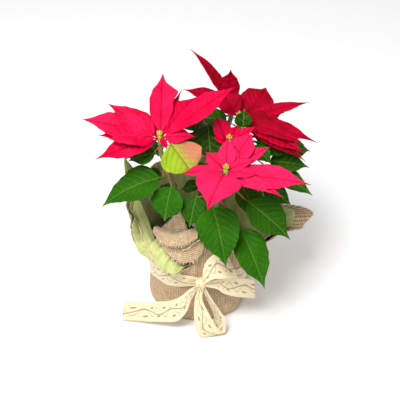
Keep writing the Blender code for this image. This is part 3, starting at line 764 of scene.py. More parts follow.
# %% Leaf table
Leaf = namedtuple("Leaf", "height base blade")
LEAVES = {
    "left": (
        Leaf(0.72, (-45, -40, 250), Blade(190, -24, 104, 28, 0.12, belly=0.3)),
        Leaf(0.66, (-37, -55, 249), Blade(240, -67, 58, 24)),
        Leaf(0.90, (-58, -20, 277), Blade(190, -13, 43, 17)),
        Leaf(0.88, (-42, -24, 298), Blade(314, -34, 62, 32, belly=0.4)),
        Leaf(0.80, (-56, 16, 250), Blade(140, -20, 84, 25)),
        Leaf(0.62, (-50, 4, 218), Blade(165, -30, 50, 20)),
    ),
    "front": (
        Leaf(0.82, (17, -70, 228), Blade(290, -50, 95, 31, 0.12, belly=0.3)),
        Leaf(0.66, (-2, -56, 232), Blade(250, -50, 50, 18)),
        Leaf(0.62, (56, -70, 190), Blade(300, -42, 101, 25)),
        Leaf(0.86, (62, -58, 226), Blade(331, -31, 90, 27)),
        Leaf(0.72, (60, -34, 234), Blade(300, -35, 60, 20)),
    ),
    "middle": (
        Leaf(0.90, (13, 40, 290), Blade(275, -35, 64, 27)),
        Leaf(0.74, (56, 14, 240), Blade(300, -30, 48, 16)),
        Leaf(0.86, (10, 60, 285), Blade(200, -10, 48, 18)),
    ),
    "right": (
        Leaf(0.80, (98, 18, 236), Blade(355, -6, 66, 19)),
        Leaf(0.70, (104, 10, 226), Blade(338, -22, 74, 17)),
        Leaf(0.84, (64, 27, 286), Blade(80, 68, 30, 13)),
        Leaf(0.90, (76, 18, 265), Blade(312, -16, 44, 15)),
        Leaf(0.88, (46, 60, 278), Blade(160, -4, 52, 18)),
        Leaf(0.76, (100, 52, 244), Blade(20, -22, 84, 24)),
        Leaf(0.62, (84, 62, 214), Blade(52, -38, 84, 24)),
        Leaf(0.58, (92, -6, 212), Blade(332, -24, 54, 17)),
        Leaf(0.80, (80, 34, 260), Blade(345, -12, 60, 18)),
    ),
    "back": (
        Leaf(0.82, (58, 108, 254), Blade(72, -28, 74, 24)),
        Leaf(0.74, (24, 104, 244), Blade(112, -32, 78, 25)),
        Leaf(0.86, (18, 92, 262), Blade(150, -18, 80, 24)),
        Leaf(0.60, (2, 66, 214), Blade(140, -28, 46, 19)),
        Leaf(0.66, (40, 96, 224), Blade(66, -46, 74, 23)),
    ),
}
YOUNG_LEAVES = {
    "left": (
        Leaf(0.75, (-58, 2, 256), Blade(110, -6, 42, 14)),
        Leaf(0.45, (-34, 8, 186), Blade(130, -12, 40, 13)),
    ),
    "front": (Leaf(0.5, (30, -48, 178), Blade(320, -30, 36, 12)),),
    "middle": (
        Leaf(0.7, (6, 42, 262), Blade(196, -16, 42, 15)),
        Leaf(0.5, (4, 12, 196), Blade(170, -20, 34, 12)),
    ),
    "right": (
        Leaf(0.72, (78, 34, 270), Blade(0, -12, 40, 14)),
        Leaf(0.45, (52, 34, 178), Blade(20, -16, 42, 14)),
    ),
    "back": (Leaf(0.45, (8, 58, 186), Blade(110, -12, 42, 14)),),
}
print("leaves", sum(map(len, LEAVES.values())), "young leaves", sum(map(len, YOUNG_LEAVES.values())))

# %% Make the leaves of one stem
TURNING_LEAVES = {("left", 3)}
# Painted shading of each stem's leaves: high on the lit left and front, low in the shade of the middle, right
# and back.
LEAF_PAINTED_SHADING = {"left": 0.62, "front": 0.6, "middle": 0.25, "right": 0.35, "back": 0.3}
LEAF_TINT_SPREAD = 0.15
LEAF_RELIEF = 1.0
LEAF_PHASE_STEP = 0.37
LEAF_THICKNESS = 0.5


def make_leaves(name, leaves):
    """All the green leaves of one stem."""
    draw = Random(name + " leaves")
    work = bmesh.new()
    for index, leaf in enumerate(leaves):
        finish = 1 if (name, index) in TURNING_LEAVES else 0
        # A leaf's tint is its stem's painted shading plus a small random spread of its own.
        tint_and_shading = 0.5 if finish else LEAF_PAINTED_SHADING[name] + draw.uniform(-LEAF_TINT_SPREAD, LEAF_TINT_SPREAD)
        phase = LEAF_PHASE_STEP * index
        blade_into(work, leaf.blade, Vector(leaf.base), phase, LEAF_RELIEF, finish, tint_and_shading)
    made = add_piece(name + "_leaves", work, [LEAF, TURNING])
    thicken(made, LEAF_THICKNESS)
    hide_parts(name + "_leafy_stem")
    return made


# %% Make one stem with its leaf stalks
STEM_RADIUS = 4.6
STEM_TAPER = 1.4
STEM_KNOTS = 0.25
STEM_STEPS = 30
STALK_STEPS = 12
STALK_RISE = 0.06
STALK_INTO_LEAF = 6.0


def stalk_into(work, stem, leaf):
    """Add the stalk that carries a leaf: thick where it leaves the stem, and let into the leaf's midrib."""
    joint = stem_point(stem, leaf.height)
    tip = Vector(leaf.base) + heading(leaf.blade.turn, leaf.blade.rise) * STALK_INTO_LEAF
    middle = (joint + tip) / 2 + Vector((0, 0, STALK_RISE * (tip - joint).length))
    steps = range(STALK_STEPS + 1)
    line = [smooth_at((joint, middle, tip), step / STALK_STEPS) for step in steps]
    rod_into(work, line, [1.8 - 0.8 * ease(2 * step / STALK_STEPS) for step in steps], 10, 1)


def make_stem(name, stem, leaves):
    """The stem, slightly knotty, and its leaf stalks."""
    work = bmesh.new()
    shares = [step / STEM_STEPS for step in range(STEM_STEPS + 1)]
    radii = [STEM_RADIUS - STEM_TAPER * share + STEM_KNOTS * sin(70 * share) ** 2 for share in shares]
    rod_into(work, [stem_point(stem, share) for share in shares], radii, 20)
    for leaf in leaves:
        stalk_into(work, stem, leaf)
    made = add_piece(name + "_stem", work, [STALK, PETIOLE])
    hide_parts(name + "_leafy_stem")


# %% Make all leaves and stems
for leafy_name, leafy_stem in STEMS.items():
    all_leaves = LEAVES[leafy_name] + YOUNG_LEAVES[leafy_name]
    leafy = make_leaves(leafy_name, all_leaves)
    make_stem(leafy_name, leafy_stem, all_leaves)
    print(leafy.name, len(leafy.data.polygons), "faces")

# %% [markdown]
# ## The small flowers
#
# The real flowers are the small yellow-green cups in the middle of each bloom, each with a red mouth. They
# are only a few millimetres high, so a swelling rod with a dark red stub in its end is all the form that
# they need. A table gives their places, and a random draw turns and sizes them a little, the same way each
# time because it is seeded with the bloom's name.

# %% Flower finishes
CUP = new_finish("flower_yellow", 0.4, Specular_IOR_Level=0.45)
cup_place = place_coordinates(CUP)
cup_shade = noise_of(CUP, cup_place, 220.0, 3.0)
colour_with(CUP, blend_of(CUP, cup_shade, (0.2, 0.34, 0.03, 1), (0.62, 0.6, 0.06, 1)))
relief_with(CUP, raise_with(CUP, noise_of(CUP, cup_place, 700.0, 2.0), 0.3, 0.5))
MOUTH = new_finish("flower_mouth", 0.5, Specular_IOR_Level=0.4)
mouth_shade = noise_of(MOUTH, place_coordinates(MOUTH), 300.0, 2.0)
colour_with(MOUTH, blend_of(MOUTH, mouth_shade, (0.6, 0.02, 0.02, 1), (0.8, 0.3, 0.05, 1)))
print("flower finishes", CUP.name, MOUTH.name)

# %% Flower cups
FlowerSpot = namedtuple("FlowerSpot", "azimuth away height size")
FLOWER_SPOTS = (
    FlowerSpot(0, 0.0, 4.4, 2.1),
    FlowerSpot(25, 3.2, 2.2, 1.6),
    FlowerSpot(95, 3.0, 1.8, 1.5),
    FlowerSpot(155, 3.4, 2.6, 1.7),
    FlowerSpot(215, 3.4, 2.0, 1.8),
    FlowerSpot(280, 3.2, 2.4, 1.6),
    FlowerSpot(330, 3.5, 2.2, 1.8),
)
CUP_SHARES = (0, 0.2, 0.45, 0.7, 0.88, 0.97, 0.92)
CUP_WIDTHS = (0.45, 0.6, 0.95, 1.0, 0.8, 0.55, 0.3)


def make_flowers(name, stem):
    """A cluster of small cups on the neck of a bloom, each with its red mouth."""
    draw = Random(name + " flowers")
    seat = Vector(stem.head) + Vector((0, 0, NECK_DEPTH / 2 + NECK_GAP))
    work = bmesh.new()
    rod_into(work, [seat, seat + Vector((0, 0, 1.4)), seat + Vector((0, 0, 2.4))], (2.2, 3.0, 2.0), 16)
    for azimuth, away, height, size in FLOWER_SPOTS:
        azimuth += draw.uniform(-14, 14)
        size *= draw.uniform(0.85, 1.1)
        foot = seat + heading(azimuth) * away * 0.5 + Vector((0, 0, 0.6))
        lean = heading(azimuth, draw.uniform(50, 70)) if away else Vector((0, 0, 1))
        reach = (height + 1.5 * size) * draw.uniform(0.85, 1.1)
        line = [foot + lean * reach * share for share in CUP_SHARES]
        rod_into(work, line, [size * width for width in CUP_WIDTHS], 12)
        mouth = foot + lean * reach * 0.9
        rod_into(work, [mouth, mouth + lean * 1.2, mouth + lean * 1.8], (0.8, 0.7, 0.3), 8, 1)
    made = add_piece(name + "_cluster", work, [CUP, MOUTH])
    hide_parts(name + "_flowers")


for flower_name, flower_stem in STEMS.items():
    make_flowers(flower_name, flower_stem)
print("flower cups in each cluster", len(FLOWER_SPOTS))

# %% [markdown]
# ## The cloth round the pot
#
# A square of hessian and a thinner green lining are drawn up round the pot and tied. A cloth simulation
# would drape them, but their folds would fall where they like, while these lie in known places and are held
# tight between pot and tie. So the cloth is worked out. The table gives, for azimuths round the pot, how
# long the cloth is above the tie, how it leans out there, how much it curls over at its edge and how long
# the lining is inside it.

# %% Cloth table
Cloth = namedtuple("Cloth", "azimuth length lean curl lining")
CLOTH = (
    Cloth(0, 116, 37, 50, 100),
    Cloth(8, 141, 38, 56, 112),
    Cloth(22, 104, 34, 20, 94),
    Cloth(37.5, 104, 26, 20, 94),
    Cloth(60, 106, 20, 14, 96),
    Cloth(90, 148, 13, 14, 134),
    Cloth(127.5, 140, 10, 14, 128),
    Cloth(150, 126, 10, 16, 138),
    Cloth(165, 140, 11, 8, 186),
    Cloth(180, 118, 20, -8, 114),
    Cloth(192, 102, 15, 0, 102),
    Cloth(202, 78, 8, 60, 79),
    Cloth(213, 84, -2, 155, 86),
    Cloth(225, 78, -3, 165, 80),
    Cloth(240, 55, -2, 165, 57),
    Cloth(248, 40, -2, 150, 41),
    Cloth(256, 31, -2, 60, 31),
    Cloth(263, 27, -2, 0, 27),
    Cloth(271, 74, -6, 0, 34),
    Cloth(292.5, 70, -3, 6, 56),
    Cloth(315, 74, 18, 12, 66),
    Cloth(345, 92, 30, 14, 80),
)
print("settings of the cloth at", len(CLOTH), "azimuths")

# %% The tie and the cloth between two azimuths
TIE_BACK_HEIGHT = 50.0
TIE_FRONT_RISE = 33.0


def tie_height(azimuth):
    """Height of the ribbon's middle: it rises towards the front."""
    return TIE_BACK_HEIGHT + TIE_FRONT_RISE * ((1 - sin(radians(azimuth))) / 2) ** 2


def cloth_at(azimuth):
    """Blend the cloth's settings between its two nearest azimuths."""
    azimuth %= 360
    after = next((k for k in CLOTH if k.azimuth > azimuth), CLOTH[0])
    before = CLOTH[CLOTH.index(after) - 1]
    span = (after.azimuth - before.azimuth) % 360
    share = ease(((azimuth - before.azimuth) % 360) / span)
    return Cloth(*(a + (b - a) * share for a, b in zip(before, after)))


def cloth_folds(azimuth, share):
    """Soft pleats: none at the tie, deeper towards the foot and the edge."""
    angle = radians(azimuth)
    wide = 0.8 * sin(4 * angle + 4.0) + 1.5 * sin(6 * angle + 0.6)
    return share * (wide + 1.2 * sin(9 * angle + 2.0))


print("the tie is", tie_height(90), "high at the back and", tie_height(270), "at the front")

# %% [markdown]
# ### One path up the cloth
#
# At each azimuth the cloth starts under the middle of the pot, runs out to the foot, goes up to the tie and
# leans out above it. That path is a list of radii and heights. The part above the tie is walked in equal
# steps, so that the cloth keeps its real length however it leans and curls.

# %% Paths of the cloth
HESSIAN_THICKNESS = 1.2
FOOT_RADIUS = 73.0
HEM_RADIUS = 77.0
HEM_HEIGHT = 6.0
WAIST_RADIUS = 74.0
CURL_START = 0.58
CURL_REACH = 0.28
RIM_FOLDS = 1.3
FLOOR_ROWS = 8
BELOW_ROWS = 14
ABOVE_ROWS = 36
TIE_ROW = FLOOR_ROWS + BELOW_ROWS


def cloth_path(azimuth, lined):
    """Return the hessian's inner face at an azimuth as pairs of radius and height."""
    setting = cloth_at(azimuth)
    tie = tie_height(azimuth)
    low = HESSIAN_THICKNESS
    corners = (
        (FOOT_RADIUS, low, 0),
        (HEM_RADIUS + cloth_folds(azimuth, 0.5), low + HEM_HEIGHT, 0),
        (HEM_RADIUS + cloth_folds(azimuth, 0.8), low + 0.4 * (tie - low), 0),
        (WAIST_RADIUS, tie, 0),
    )
    path = [(FOOT_RADIUS * row / FLOOR_ROWS, low) for row in range(FLOOR_ROWS)]
    for row in range(BELOW_ROWS):
        place = smooth_at(corners, row / BELOW_ROWS)
        path.append((place.x, max(place.y, low)))
    path.append((WAIST_RADIUS, tie))
    radius, height = WAIST_RADIUS, tie
    end = setting.lining / setting.length if lined else 1.0
    for row in range(ABOVE_ROWS):
        here = end * (row + 0.5) / ABOVE_ROWS
        way = radians(setting.lean + setting.curl * clamp((here - CURL_START) / CURL_REACH))
        radius += setting.length * end / ABOVE_ROWS * sin(way)
        height += setting.length * end / ABOVE_ROWS * cos(way)
        share = end * (row + 1) / ABOVE_ROWS
        path.append((radius + cloth_folds(azimuth, RIM_FOLDS * share), height))
    return path


print("the rim at the back is at", [round(v) for v in cloth_path(90, False)[-1]])

# %% [markdown]
# ### From paths to a cup
#
# The whole cup is one grid that is wrapped round, so it has no seam but the one where its first and last
# column meet, and that is merged. The lining uses the same paths as the hessian, and stands off inwards, so
# the two cloths can't cross. A function for the relief adds gathers and creases along the surface's normal.

# %% The cup
SECTIONS = 288
MERGE_DISTANCE = 0.01 * MM
STANDOFF_HEIGHT = 60.0
CUP_RADIUS = 0.8


def cloth_cup(work, lined, clearance, standoff, relief):
    """Wrap a grid into a cup round the pot and set it off towards the plant."""
    paths = [cloth_path(360 * section / SECTIONS, lined) for section in range(SECTIONS)]
    points = []
    for section, path in enumerate(paths):
        around = heading(360 * section / SECTIONS)
        points.append([around * radius + Vector((0, 0, height)) for radius, height in path])
    rows = len(points[0]) - 1

    def place_of(u, v):
        section, row = round(u * SECTIONS) % SECTIONS, round(v * rows)
        here = points[section][row]
        around = points[(section + 1) % SECTIONS][row] - points[section - 1][row]
        along = points[section][min(row + 1, rows)] - points[section][max(row - 1, 0)]
        inward = along.cross(around).normalized() if row > 1 else Vector((0, 0, 1))
        rise = clamp((here.z - points[section][TIE_ROW].z) / STANDOFF_HEIGHT)
        away = clearance + standoff * rise + relief(360 * u, here, row - TIE_ROW)
        path = paths[section]
        length = sum(hypot(b[0] - a[0], b[1] - a[1]) for a, b in zip(path[:row], path[1 : row + 1]))
        return here + inward * away, (2 * pi * CUP_RADIUS * u, length / 100)

    grid_into(work, SECTIONS, rows, place_of)
    bmesh.ops.remove_doubles(work, verts=work.verts, dist=MERGE_DISTANCE)


print("the cup is a grid of", SECTIONS, "by", TIE_ROW + ABOVE_ROWS)

# %% Gathers and creases of the hessian
KNOT = Vector((4.0, -85.0, 88.0))
KNOT_AZIMUTH = 273
PLEAT_AZIMUTH = 272
GATHERS = 31


def hessian_relief(azimuth, here, row):
    """How far the cloth stands in towards the pot: gathers by the tie, creases from the knot, one pleat."""
    near = exp(-((row / 9.0) ** 2)) if row < 0 else exp(-((row / 11.0) ** 2))
    gathers = sin(radians(azimuth) * GATHERS + 2 * sin(radians(azimuth) * 7))
    gathered = near * 0.25 * (1 + gathers)
    if row > 0:
        return gathered + 2.4 * exp(-(((azimuth - PLEAT_AZIMUTH) / 3.5) ** 2)) * ease(row / 8)
    along = 1.3 * abs((azimuth - KNOT_AZIMUTH + 180) % 360 - 180)
    below = KNOT.z - here.z
    apart = hypot(along, below)
    creases = sin(11 * atan2(below, along + 6) + 0.8 * sin(apart / 14))
    return gathered + 1.7 * (1 + creases) * exp(-apart / 50) * ease((apart - 8) / 14)


print("a crease under the knot stands in", round(hessian_relief(270, Vector((0, -76, 40)), -8), 2), "mm")

# %% [markdown]
# ## Woven finishes
#
# Hessian is a coarse plain weave of uneven jute threads, with gaps that one can look into. The lining is a
# thin green cloth with a weave that is hardly visible. Modelling each thread would take millions of faces,
# so the weave is a pattern on the UV map: two sine waves for the threads, a noise that lets them wander,
# and a second, stretched noise for the thick and thin stretches that jute has. The same values also drive
# the bump, so colour and relief agree.


# %% A plain weave
def weave_of(finish, flat, along, across, pitch, wander):
    """Two sets of threads that cross, from 0 in a gap to 1 on a thread. The pitch is in millimetres."""
    threads = 100.0 / pitch
    drift = sum_of(finish, "MULTIPLY", noise_of(finish, flat, 60.0, 2.0), wander)
    first = sum_of(finish, "MULTIPLY", sum_of(finish, "ADD", along, drift), threads * pi)
    second = sum_of(finish, "MULTIPLY", sum_of(finish, "ADD", across, drift), threads * pi)
    warp = sum_of(finish, "ABSOLUTE", sum_of(finish, "SINE", first))
    weft = sum_of(finish, "ABSOLUTE", sum_of(finish, "SINE", second))
    return sum_of(finish, "MAXIMUM", warp, weft)


# %% Cloth finish
def cloth_finish(name, dark, light, shaded_gap, pitch, roughness, depth, sheen):
    """A woven cloth with uneven threads and painted shade in the gaps between them."""
    made = new_finish(name, roughness, Sheen_Weight=sheen, Specular_IOR_Level=0.25)
    flat, along, across = cut_coordinates(made)
    woven = weave_of(made, flat, along, across, pitch, 0.01)
    slub_way = wire(made, "Mapping", {0: flat, "Scale": (90.0, 6.0, 1.0)}).outputs[0]
    cross_way = wire(made, "Mapping", {0: flat, "Scale": (6.0, 90.0, 1.0)}).outputs[0]
    slub = sum_of(made, "MAXIMUM", noise_of(made, slub_way, 1.0, 2.0), noise_of(made, cross_way, 1.0, 2.0))
    colour = blend_of(made, step_of(made, slub, 0.35, 0.75), dark, light)
    # Painted shade: the gaps between the threads take the dark gap colour.
    colour = blend_of(made, step_of(made, woven, 0.92, 0.5), colour, shaded_gap)
    colour_with(made, colour)
    normal = raise_with(made, woven, depth, 0.8)
    normal = raise_with(made, slub, depth, 0.5, normal)
    relief_with(made, normal)
    return made


# %% Hessian and lining
HESSIAN_PITCH = 2.8
LINING_PITCH = 0.9
HESSIAN = cloth_finish(
    "hessian",
    dark=(0.42, 0.27, 0.14, 1),
    light=(0.8, 0.62, 0.39, 1),
    shaded_gap=(0.17, 0.1, 0.05, 1),
    pitch=HESSIAN_PITCH,
    roughness=0.9,
    depth=1.3,
    sheen=0.1,
)
LINING = cloth_finish(
    "lining",
    dark=(0.44, 0.48, 0.15, 1),
    light=(0.68, 0.7, 0.33, 1),
    shaded_gap=(0.36, 0.4, 0.12, 1),
    pitch=LINING_PITCH,
    roughness=0.7,
    depth=0.2,
    sheen=0.1,
)
print("threads are", HESSIAN_PITCH, "mm wide in the hessian and", LINING_PITCH, "mm in the lining")

# %% [markdown]
# ### Crinkles of the lining
#
# The thin green cloth has been crushed in the hand, and keeps long crinkles that run up it. They are too
# fine to model and too soft for the weave, so one noise, stretched along the cloth, bumps the finish and
# paints shade into its hollows.

# %% Crinkles of the lining
crinkle_flat = cut_coordinates(LINING)[0]
crinkle_way = wire(LINING, "Mapping", {0: crinkle_flat, "Scale": (30.0, 2.5, 1.0)}).outputs[0]
crinkle = noise_of(LINING, crinkle_way, 1.0, 4.0, 0.8)
lining_weave = shader_of(LINING).inputs["Normal"].links[0].from_socket
relief_with(LINING, raise_with(LINING, crinkle, 2.4, 0.9, lining_weave))
lining_colour = shader_of(LINING).inputs["Base Color"].links[0].from_socket
# Painted shade: the hollows of the crinkles are mixed towards a dark green.
crinkle_painted_shade = sum_of(LINING, "MULTIPLY", step_of(LINING, crinkle, 0.55, 0.3), 0.4)
colour_with(LINING, blend_of(LINING, crinkle_painted_shade, lining_colour, (0.27, 0.33, 0.06, 1)))
print("nodes of the lining", len(LINING.node_tree.nodes))

# %% [markdown]
# ## The hessian
#
# The hessian is the outer cloth, about a millimetre thick. The cup is a single sheet so far. Two faces with
# a real thickness between them show at its edge, so Solidify adds the outer face and leaves the inner one
# where the paths put it.

# %% Make the hessian
hessian_work = bmesh.new()
cloth_cup(hessian_work, False, 0.0, 0.0, hessian_relief)
hessian_cup = add_piece("hessian", hessian_work, [HESSIAN])
thicken(hessian_cup, HESSIAN_THICKNESS, 1.0)
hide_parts("hessian_wrap")
print("hessian", len(hessian_cup.data.polygons), "faces")

# %% [markdown]
# ### Its front corner
#
# At the front one corner of the square stands up inside the lining, and its edge is folded down over it as
# a lapel, with a second fold above. These are loose sheets in front of the cup. Each is laid through two or
# three rails, which are rows of given places: an azimuth, then a radius and a height for each rail.
# Noise makes the cloth slack between them, and wears its edge.

# %% Rails of the corner
CORNER = (
    (279, 72.0, 136, 72.0, 142),
    (271, 65.5, 128, 64.0, 152),
    (263, 64.0, 121, 62.0, 157),
    (256, 63.0, 120, 61.0, 165),
    (250, 63.0, 120, 60.0, 184),
    (242, 63.0, 120, 60.0, 203),
    (235, 63.0, 120, 60.0, 192),
    (226, 63.0, 120, 60.5, 173),
    (213, 66.0, 125, 67.0, 153),
)
FAR_EDGE = (
    (243, 59.0, 204, 60.0, 192),
    (249, 56.0, 199, 57.0, 190),
    (256, 57.0, 191, 58.0, 183),
    (263, 61.0, 183, 62.0, 176),
    (270, 66.0, 175, 66.5, 166),
)
LAPEL = (
    (276, 64.0, 144, 68.5, 150, 73.0, 146),
    (270, 62.5, 146, 68.0, 150, 75.5, 129),
    (263, 62.0, 146, 67.5, 147, 77.0, 121),
    (256, 61.5, 141, 68.0, 142, 78.0, 119),
    (249, 61.5, 138, 68.0, 140, 80.0, 119),
    (240, 61.5, 138, 68.0, 140, 80.0, 124),
    (230, 61.6, 139, 68.0, 141, 80.0, 131),
    (221, 63.2, 140, 69.0, 142, 79.0, 138),
    (214, 66.2, 142, 70.0, 144, 77.0, 144),
)
UPPER_FOLD = (
    (211, 72.0, 157, 77.0, 158, 79.0, 150),
    (225, 68.5, 160, 76.0, 158, 81.0, 147),
    (240, 66.5, 162, 74.0, 160, 81.0, 146),
    (256, 65.5, 172, 72.0, 170, 78.0, 154),
    (269, 66.0, 178, 70.5, 177, 75.0, 165),
)


def rails_of(table, columns):
    """Split a table into rails of azimuth, radius and height. A rail's radius is in the given column."""
    return [[(place[0], place[column], place[column + 1]) for place in table] for column in columns]


print("rails of the lapel", len(rails_of(LAPEL, (1, 3, 5))), "with", len(LAPEL), "places each")

# %% A loose sheet through rails
EDGE_WEAR = 0.05
SLACK = 1.5


def draped_into(work, rails, columns, rows, seed, crosswise=False):
    """Add a loose sheet of cloth through rails of azimuth, radius and height, slack and worn at its edge."""
    places = [[point_at(*stop) for stop in rail] for rail in rails]

    def place_of(u, v):
        worn = EDGE_WEAR * v**8 * noise.noise(Vector((60 * u, seed, 0)))
        place = smooth_at([smooth_at(rail, u) for rail in places], v - abs(worn))
        slack = noise.noise(place * 0.07 + Vector((0, 0, seed))) + 0.4 * noise.noise(place * 0.2)
        flat_place = (0.3 * v, 1.3 * u) if crosswise else (1.1 * u, 0.5 * v)
        return place + heading(degrees(atan2(place.y, place.x))) * (SLACK * slack), flat_place

    grid_into(work, columns, rows, place_of)


# %% Make the corner
corner_work = bmesh.new()
draped_into(corner_work, rails_of(CORNER, (1, 3)), 90, 24, 1)
draped_into(corner_work, rails_of(LAPEL, (1, 3, 5)), 90, 30, 2)
draped_into(corner_work, rails_of(UPPER_FOLD, (1, 3, 5)), 80, 20, 3)
draped_into(corner_work, rails_of(FAR_EDGE, (1, 3)), 40, 10, 4)
hessian_corner = add_piece("hessian_corner", corner_work, [HESSIAN])
thicken(hessian_corner, HESSIAN_THICKNESS, 0.0)
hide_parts("hessian_wrap")
print("corner, lapel and folds", len(hessian_corner.data.polygons), "faces")

# %% [markdown]
# ## Frayed edges and loose threads
#
# Cut hessian frays: short ends of jute stick out along its edges and a few long threads hang loose. Hair
# would give thousands of them, but hair doesn't become a mesh. Some six hundred thin rods are enough, each
# with a few faces only, with a bend and a length drawn at random from a seed. The loose threads wander by
# Blender's vector noise, which would start elsewhere in every session, so it gets a seed as well.

# %% Jute
JUTE = new_finish("jute_thread", 0.9, Specular_IOR_Level=0.2)
jute_place = place_coordinates(JUTE)
jute_shade = noise_of(JUTE, jute_place, 300.0, 3.0)
colour_with(JUTE, blend_of(JUTE, jute_shade, (0.5, 0.34, 0.18, 1), (0.88, 0.74, 0.53, 1)))
relief_with(JUTE, raise_with(JUTE, noise_of(JUTE, jute_place, 900.0, 2.0), 0.3, 0.7))
print("finish of the threads", JUTE.name)


# %% One frayed end
def frayed_into(work, draw, foot, way, reach):
    """Add one short frayed end that leaves the cloth's edge and bends aside."""
    bend = Vector((draw.uniform(-1, 1), draw.uniform(-1, 1), draw.uniform(-1, 0.6))) * 0.45 * reach
    reach *= draw.uniform(0.4, 1.0)
    line = [foot - way, foot + way * 0.5 * reach + bend * 0.3, foot + way * reach + bend]
    rod_into(work, line, (0.35, 0.3, 0.18), 5)


# %% Frayed ends along the rim
RIM_ENDS = 360
RIM_END_LENGTH = 4.5
fray = Random("frayed ends")
fringe_work = bmesh.new()
for end in range(RIM_ENDS):
    rim_azimuth = fray.uniform(0, 360)
    below_rim, rim = (point_at(rim_azimuth, *place) for place in cloth_path(rim_azimuth, False)[-2:])
    frayed_into(fringe_work, fray, rim, (rim - below_rim).normalized(), RIM_END_LENGTH)
print("faces along the rim", len(fringe_work.faces))

# %% Frayed ends along the corner
CORNER_ENDS = 70
CORNER_END_LENGTH = 3.5
CORNER_EDGES = ((LAPEL, (3, 5)), (UPPER_FOLD, (3, 5)), (CORNER, (1, 3)), (FAR_EDGE, (3, 1)))
for edge_table, edge_columns in CORNER_EDGES:
    inner, outer = [[point_at(*stop) for stop in rail] for rail in rails_of(edge_table, edge_columns)]
    for end in range(CORNER_ENDS):
        share = fray.uniform(0.02, 0.98)
        edge_way = (smooth_at(outer, share) - smooth_at(inner, share)).normalized()
        frayed_into(fringe_work, fray, smooth_at(outer, share), edge_way, CORNER_END_LENGTH)
fringe = add_piece("hessian_fringe", fringe_work, [JUTE])
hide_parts("hessian_wrap")
print("frayed ends", RIM_ENDS + len(CORNER_EDGES) * CORNER_ENDS, "with", len(fringe.data.polygons), "faces")

# %% Loose threads
THREAD_STEPS = 24
THREAD_RADIUS = 0.6
THREAD_SEED = 1
THREADS = (
    ((-40, -67, 141), (-33, -69, 150), (-25, -68, 155), (-16, -65, 163), (-10, -61, 173)),
    ((-24, -73, 142), (-16, -75, 146), (-9, -74, 152), (-3, -74, 158), (3, -74, 163)),
    ((-88, -30, 150), (-84, -38, 140), (-77, -47, 131), (-72, -58, 121), (-60, -69, 117), (-49, -77, 113)),
    ((-90, -20, 150), (-86, -36, 137), (-80, -50, 124), (-66, -66, 117), (-55, -77, 106)),
    ((139, 24, 133), (143, 16, 130), (149, 12, 131), (155, 17, 132), (158, 26, 131)),
    ((33, -72, 152), (40, -70, 160), (48, -62, 165), (54, -60, 174)),
)
noise.seed_set(THREAD_SEED)
thread_work = bmesh.new()
for stops in THREADS:
    line = [smooth_at(stops, step / THREAD_STEPS) for step in range(THREAD_STEPS + 1)]
    line = [point + noise.noise_vector(point * 0.15) * 0.9 for point in line]
    radii = [THREAD_RADIUS + 0.12 * sin(step) for step in range(THREAD_STEPS + 1)]
    rod_into(thread_work, line, radii, 6)
threads = add_piece("jute_threads", thread_work, [JUTE])
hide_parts("hessian_wrap")
print("loose threads", len(THREADS))

# %% [markdown]
# ## The lining
#
# The lining is a thin crumpled cloth inside the hessian, a little shorter at most places and longer at the
# left, where a corner of it stands up. It takes the hessian's paths and gathers, so it always lies inside,
# and adds its own narrow folds above the tie.


# %% Folds of the lining
def lining_relief(azimuth, here, row):
    """The lining follows the hessian's gathers, and stands in narrow folds above them."""
    turn = radians(azimuth)
    fold = 1 + sin(41 * turn + 3 * sin(5 * turn))
    return hessian_relief(azimuth, here, row) + 1.1 * fold * clamp(row / 16)


# %% Make the lining
LINING_CLEARANCE = 0.7
LINING_STANDOFF = 2.8
LINING_THICKNESS = 0.7
lining_work = bmesh.new()
cloth_cup(lining_work, True, LINING_CLEARANCE, LINING_STANDOFF, lining_relief)
lining = add_piece("lining", lining_work, [LINING])
thicken(lining, LINING_THICKNESS, -1.0)
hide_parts("green_lining")
print("lining", len(lining.data.polygons), "faces")

# %% [markdown]
# ### The folded band of the lining
#
# On the left the lining's edge comes over the hessian and is folded down into a band that runs to the
# ribbon. It hangs free of the cup, so it is one more loose sheet through three rails. Its crinkles run
# across it, so its UV map is turned by a quarter.

# %% Make the folded band
FOLD_THICKNESS = 0.6
LINING_FOLD = (
    (173, 106, 163, 98, 168, 90, 172),
    (183, 102, 149, 92, 157, 80, 157),
    (196, 95, 136, 86, 143, 74, 139),
    (210, 91, 128, 83, 133, 73, 126),
    (222, 90, 120, 82, 127, 73, 122),
    (234, 89, 114, 83, 120, 76, 120),
)
fold_work = bmesh.new()
draped_into(fold_work, rails_of(LINING_FOLD, (1, 3, 5)), 90, 30, 5, crosswise=True)
lining_fold = add_piece("lining_fold", fold_work, [LINING])
thicken(lining_fold, FOLD_THICKNESS, 0.0)
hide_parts("green_lining")
print("folded band", len(lining_fold.data.polygons), "faces")

# %% [markdown]
# ## The ribbon
#
# One length of cream satin goes round the pot and is tied at the front, with two loops and two tails. A
# ribbon bends easily along its length and hardly across it, so each loop and tail is a strip between two
# edges. The table gives both edges at a few stations along each strip, which also says how the strip
# twists and how wide it is seen. A simulated bow would need its knot tied first.

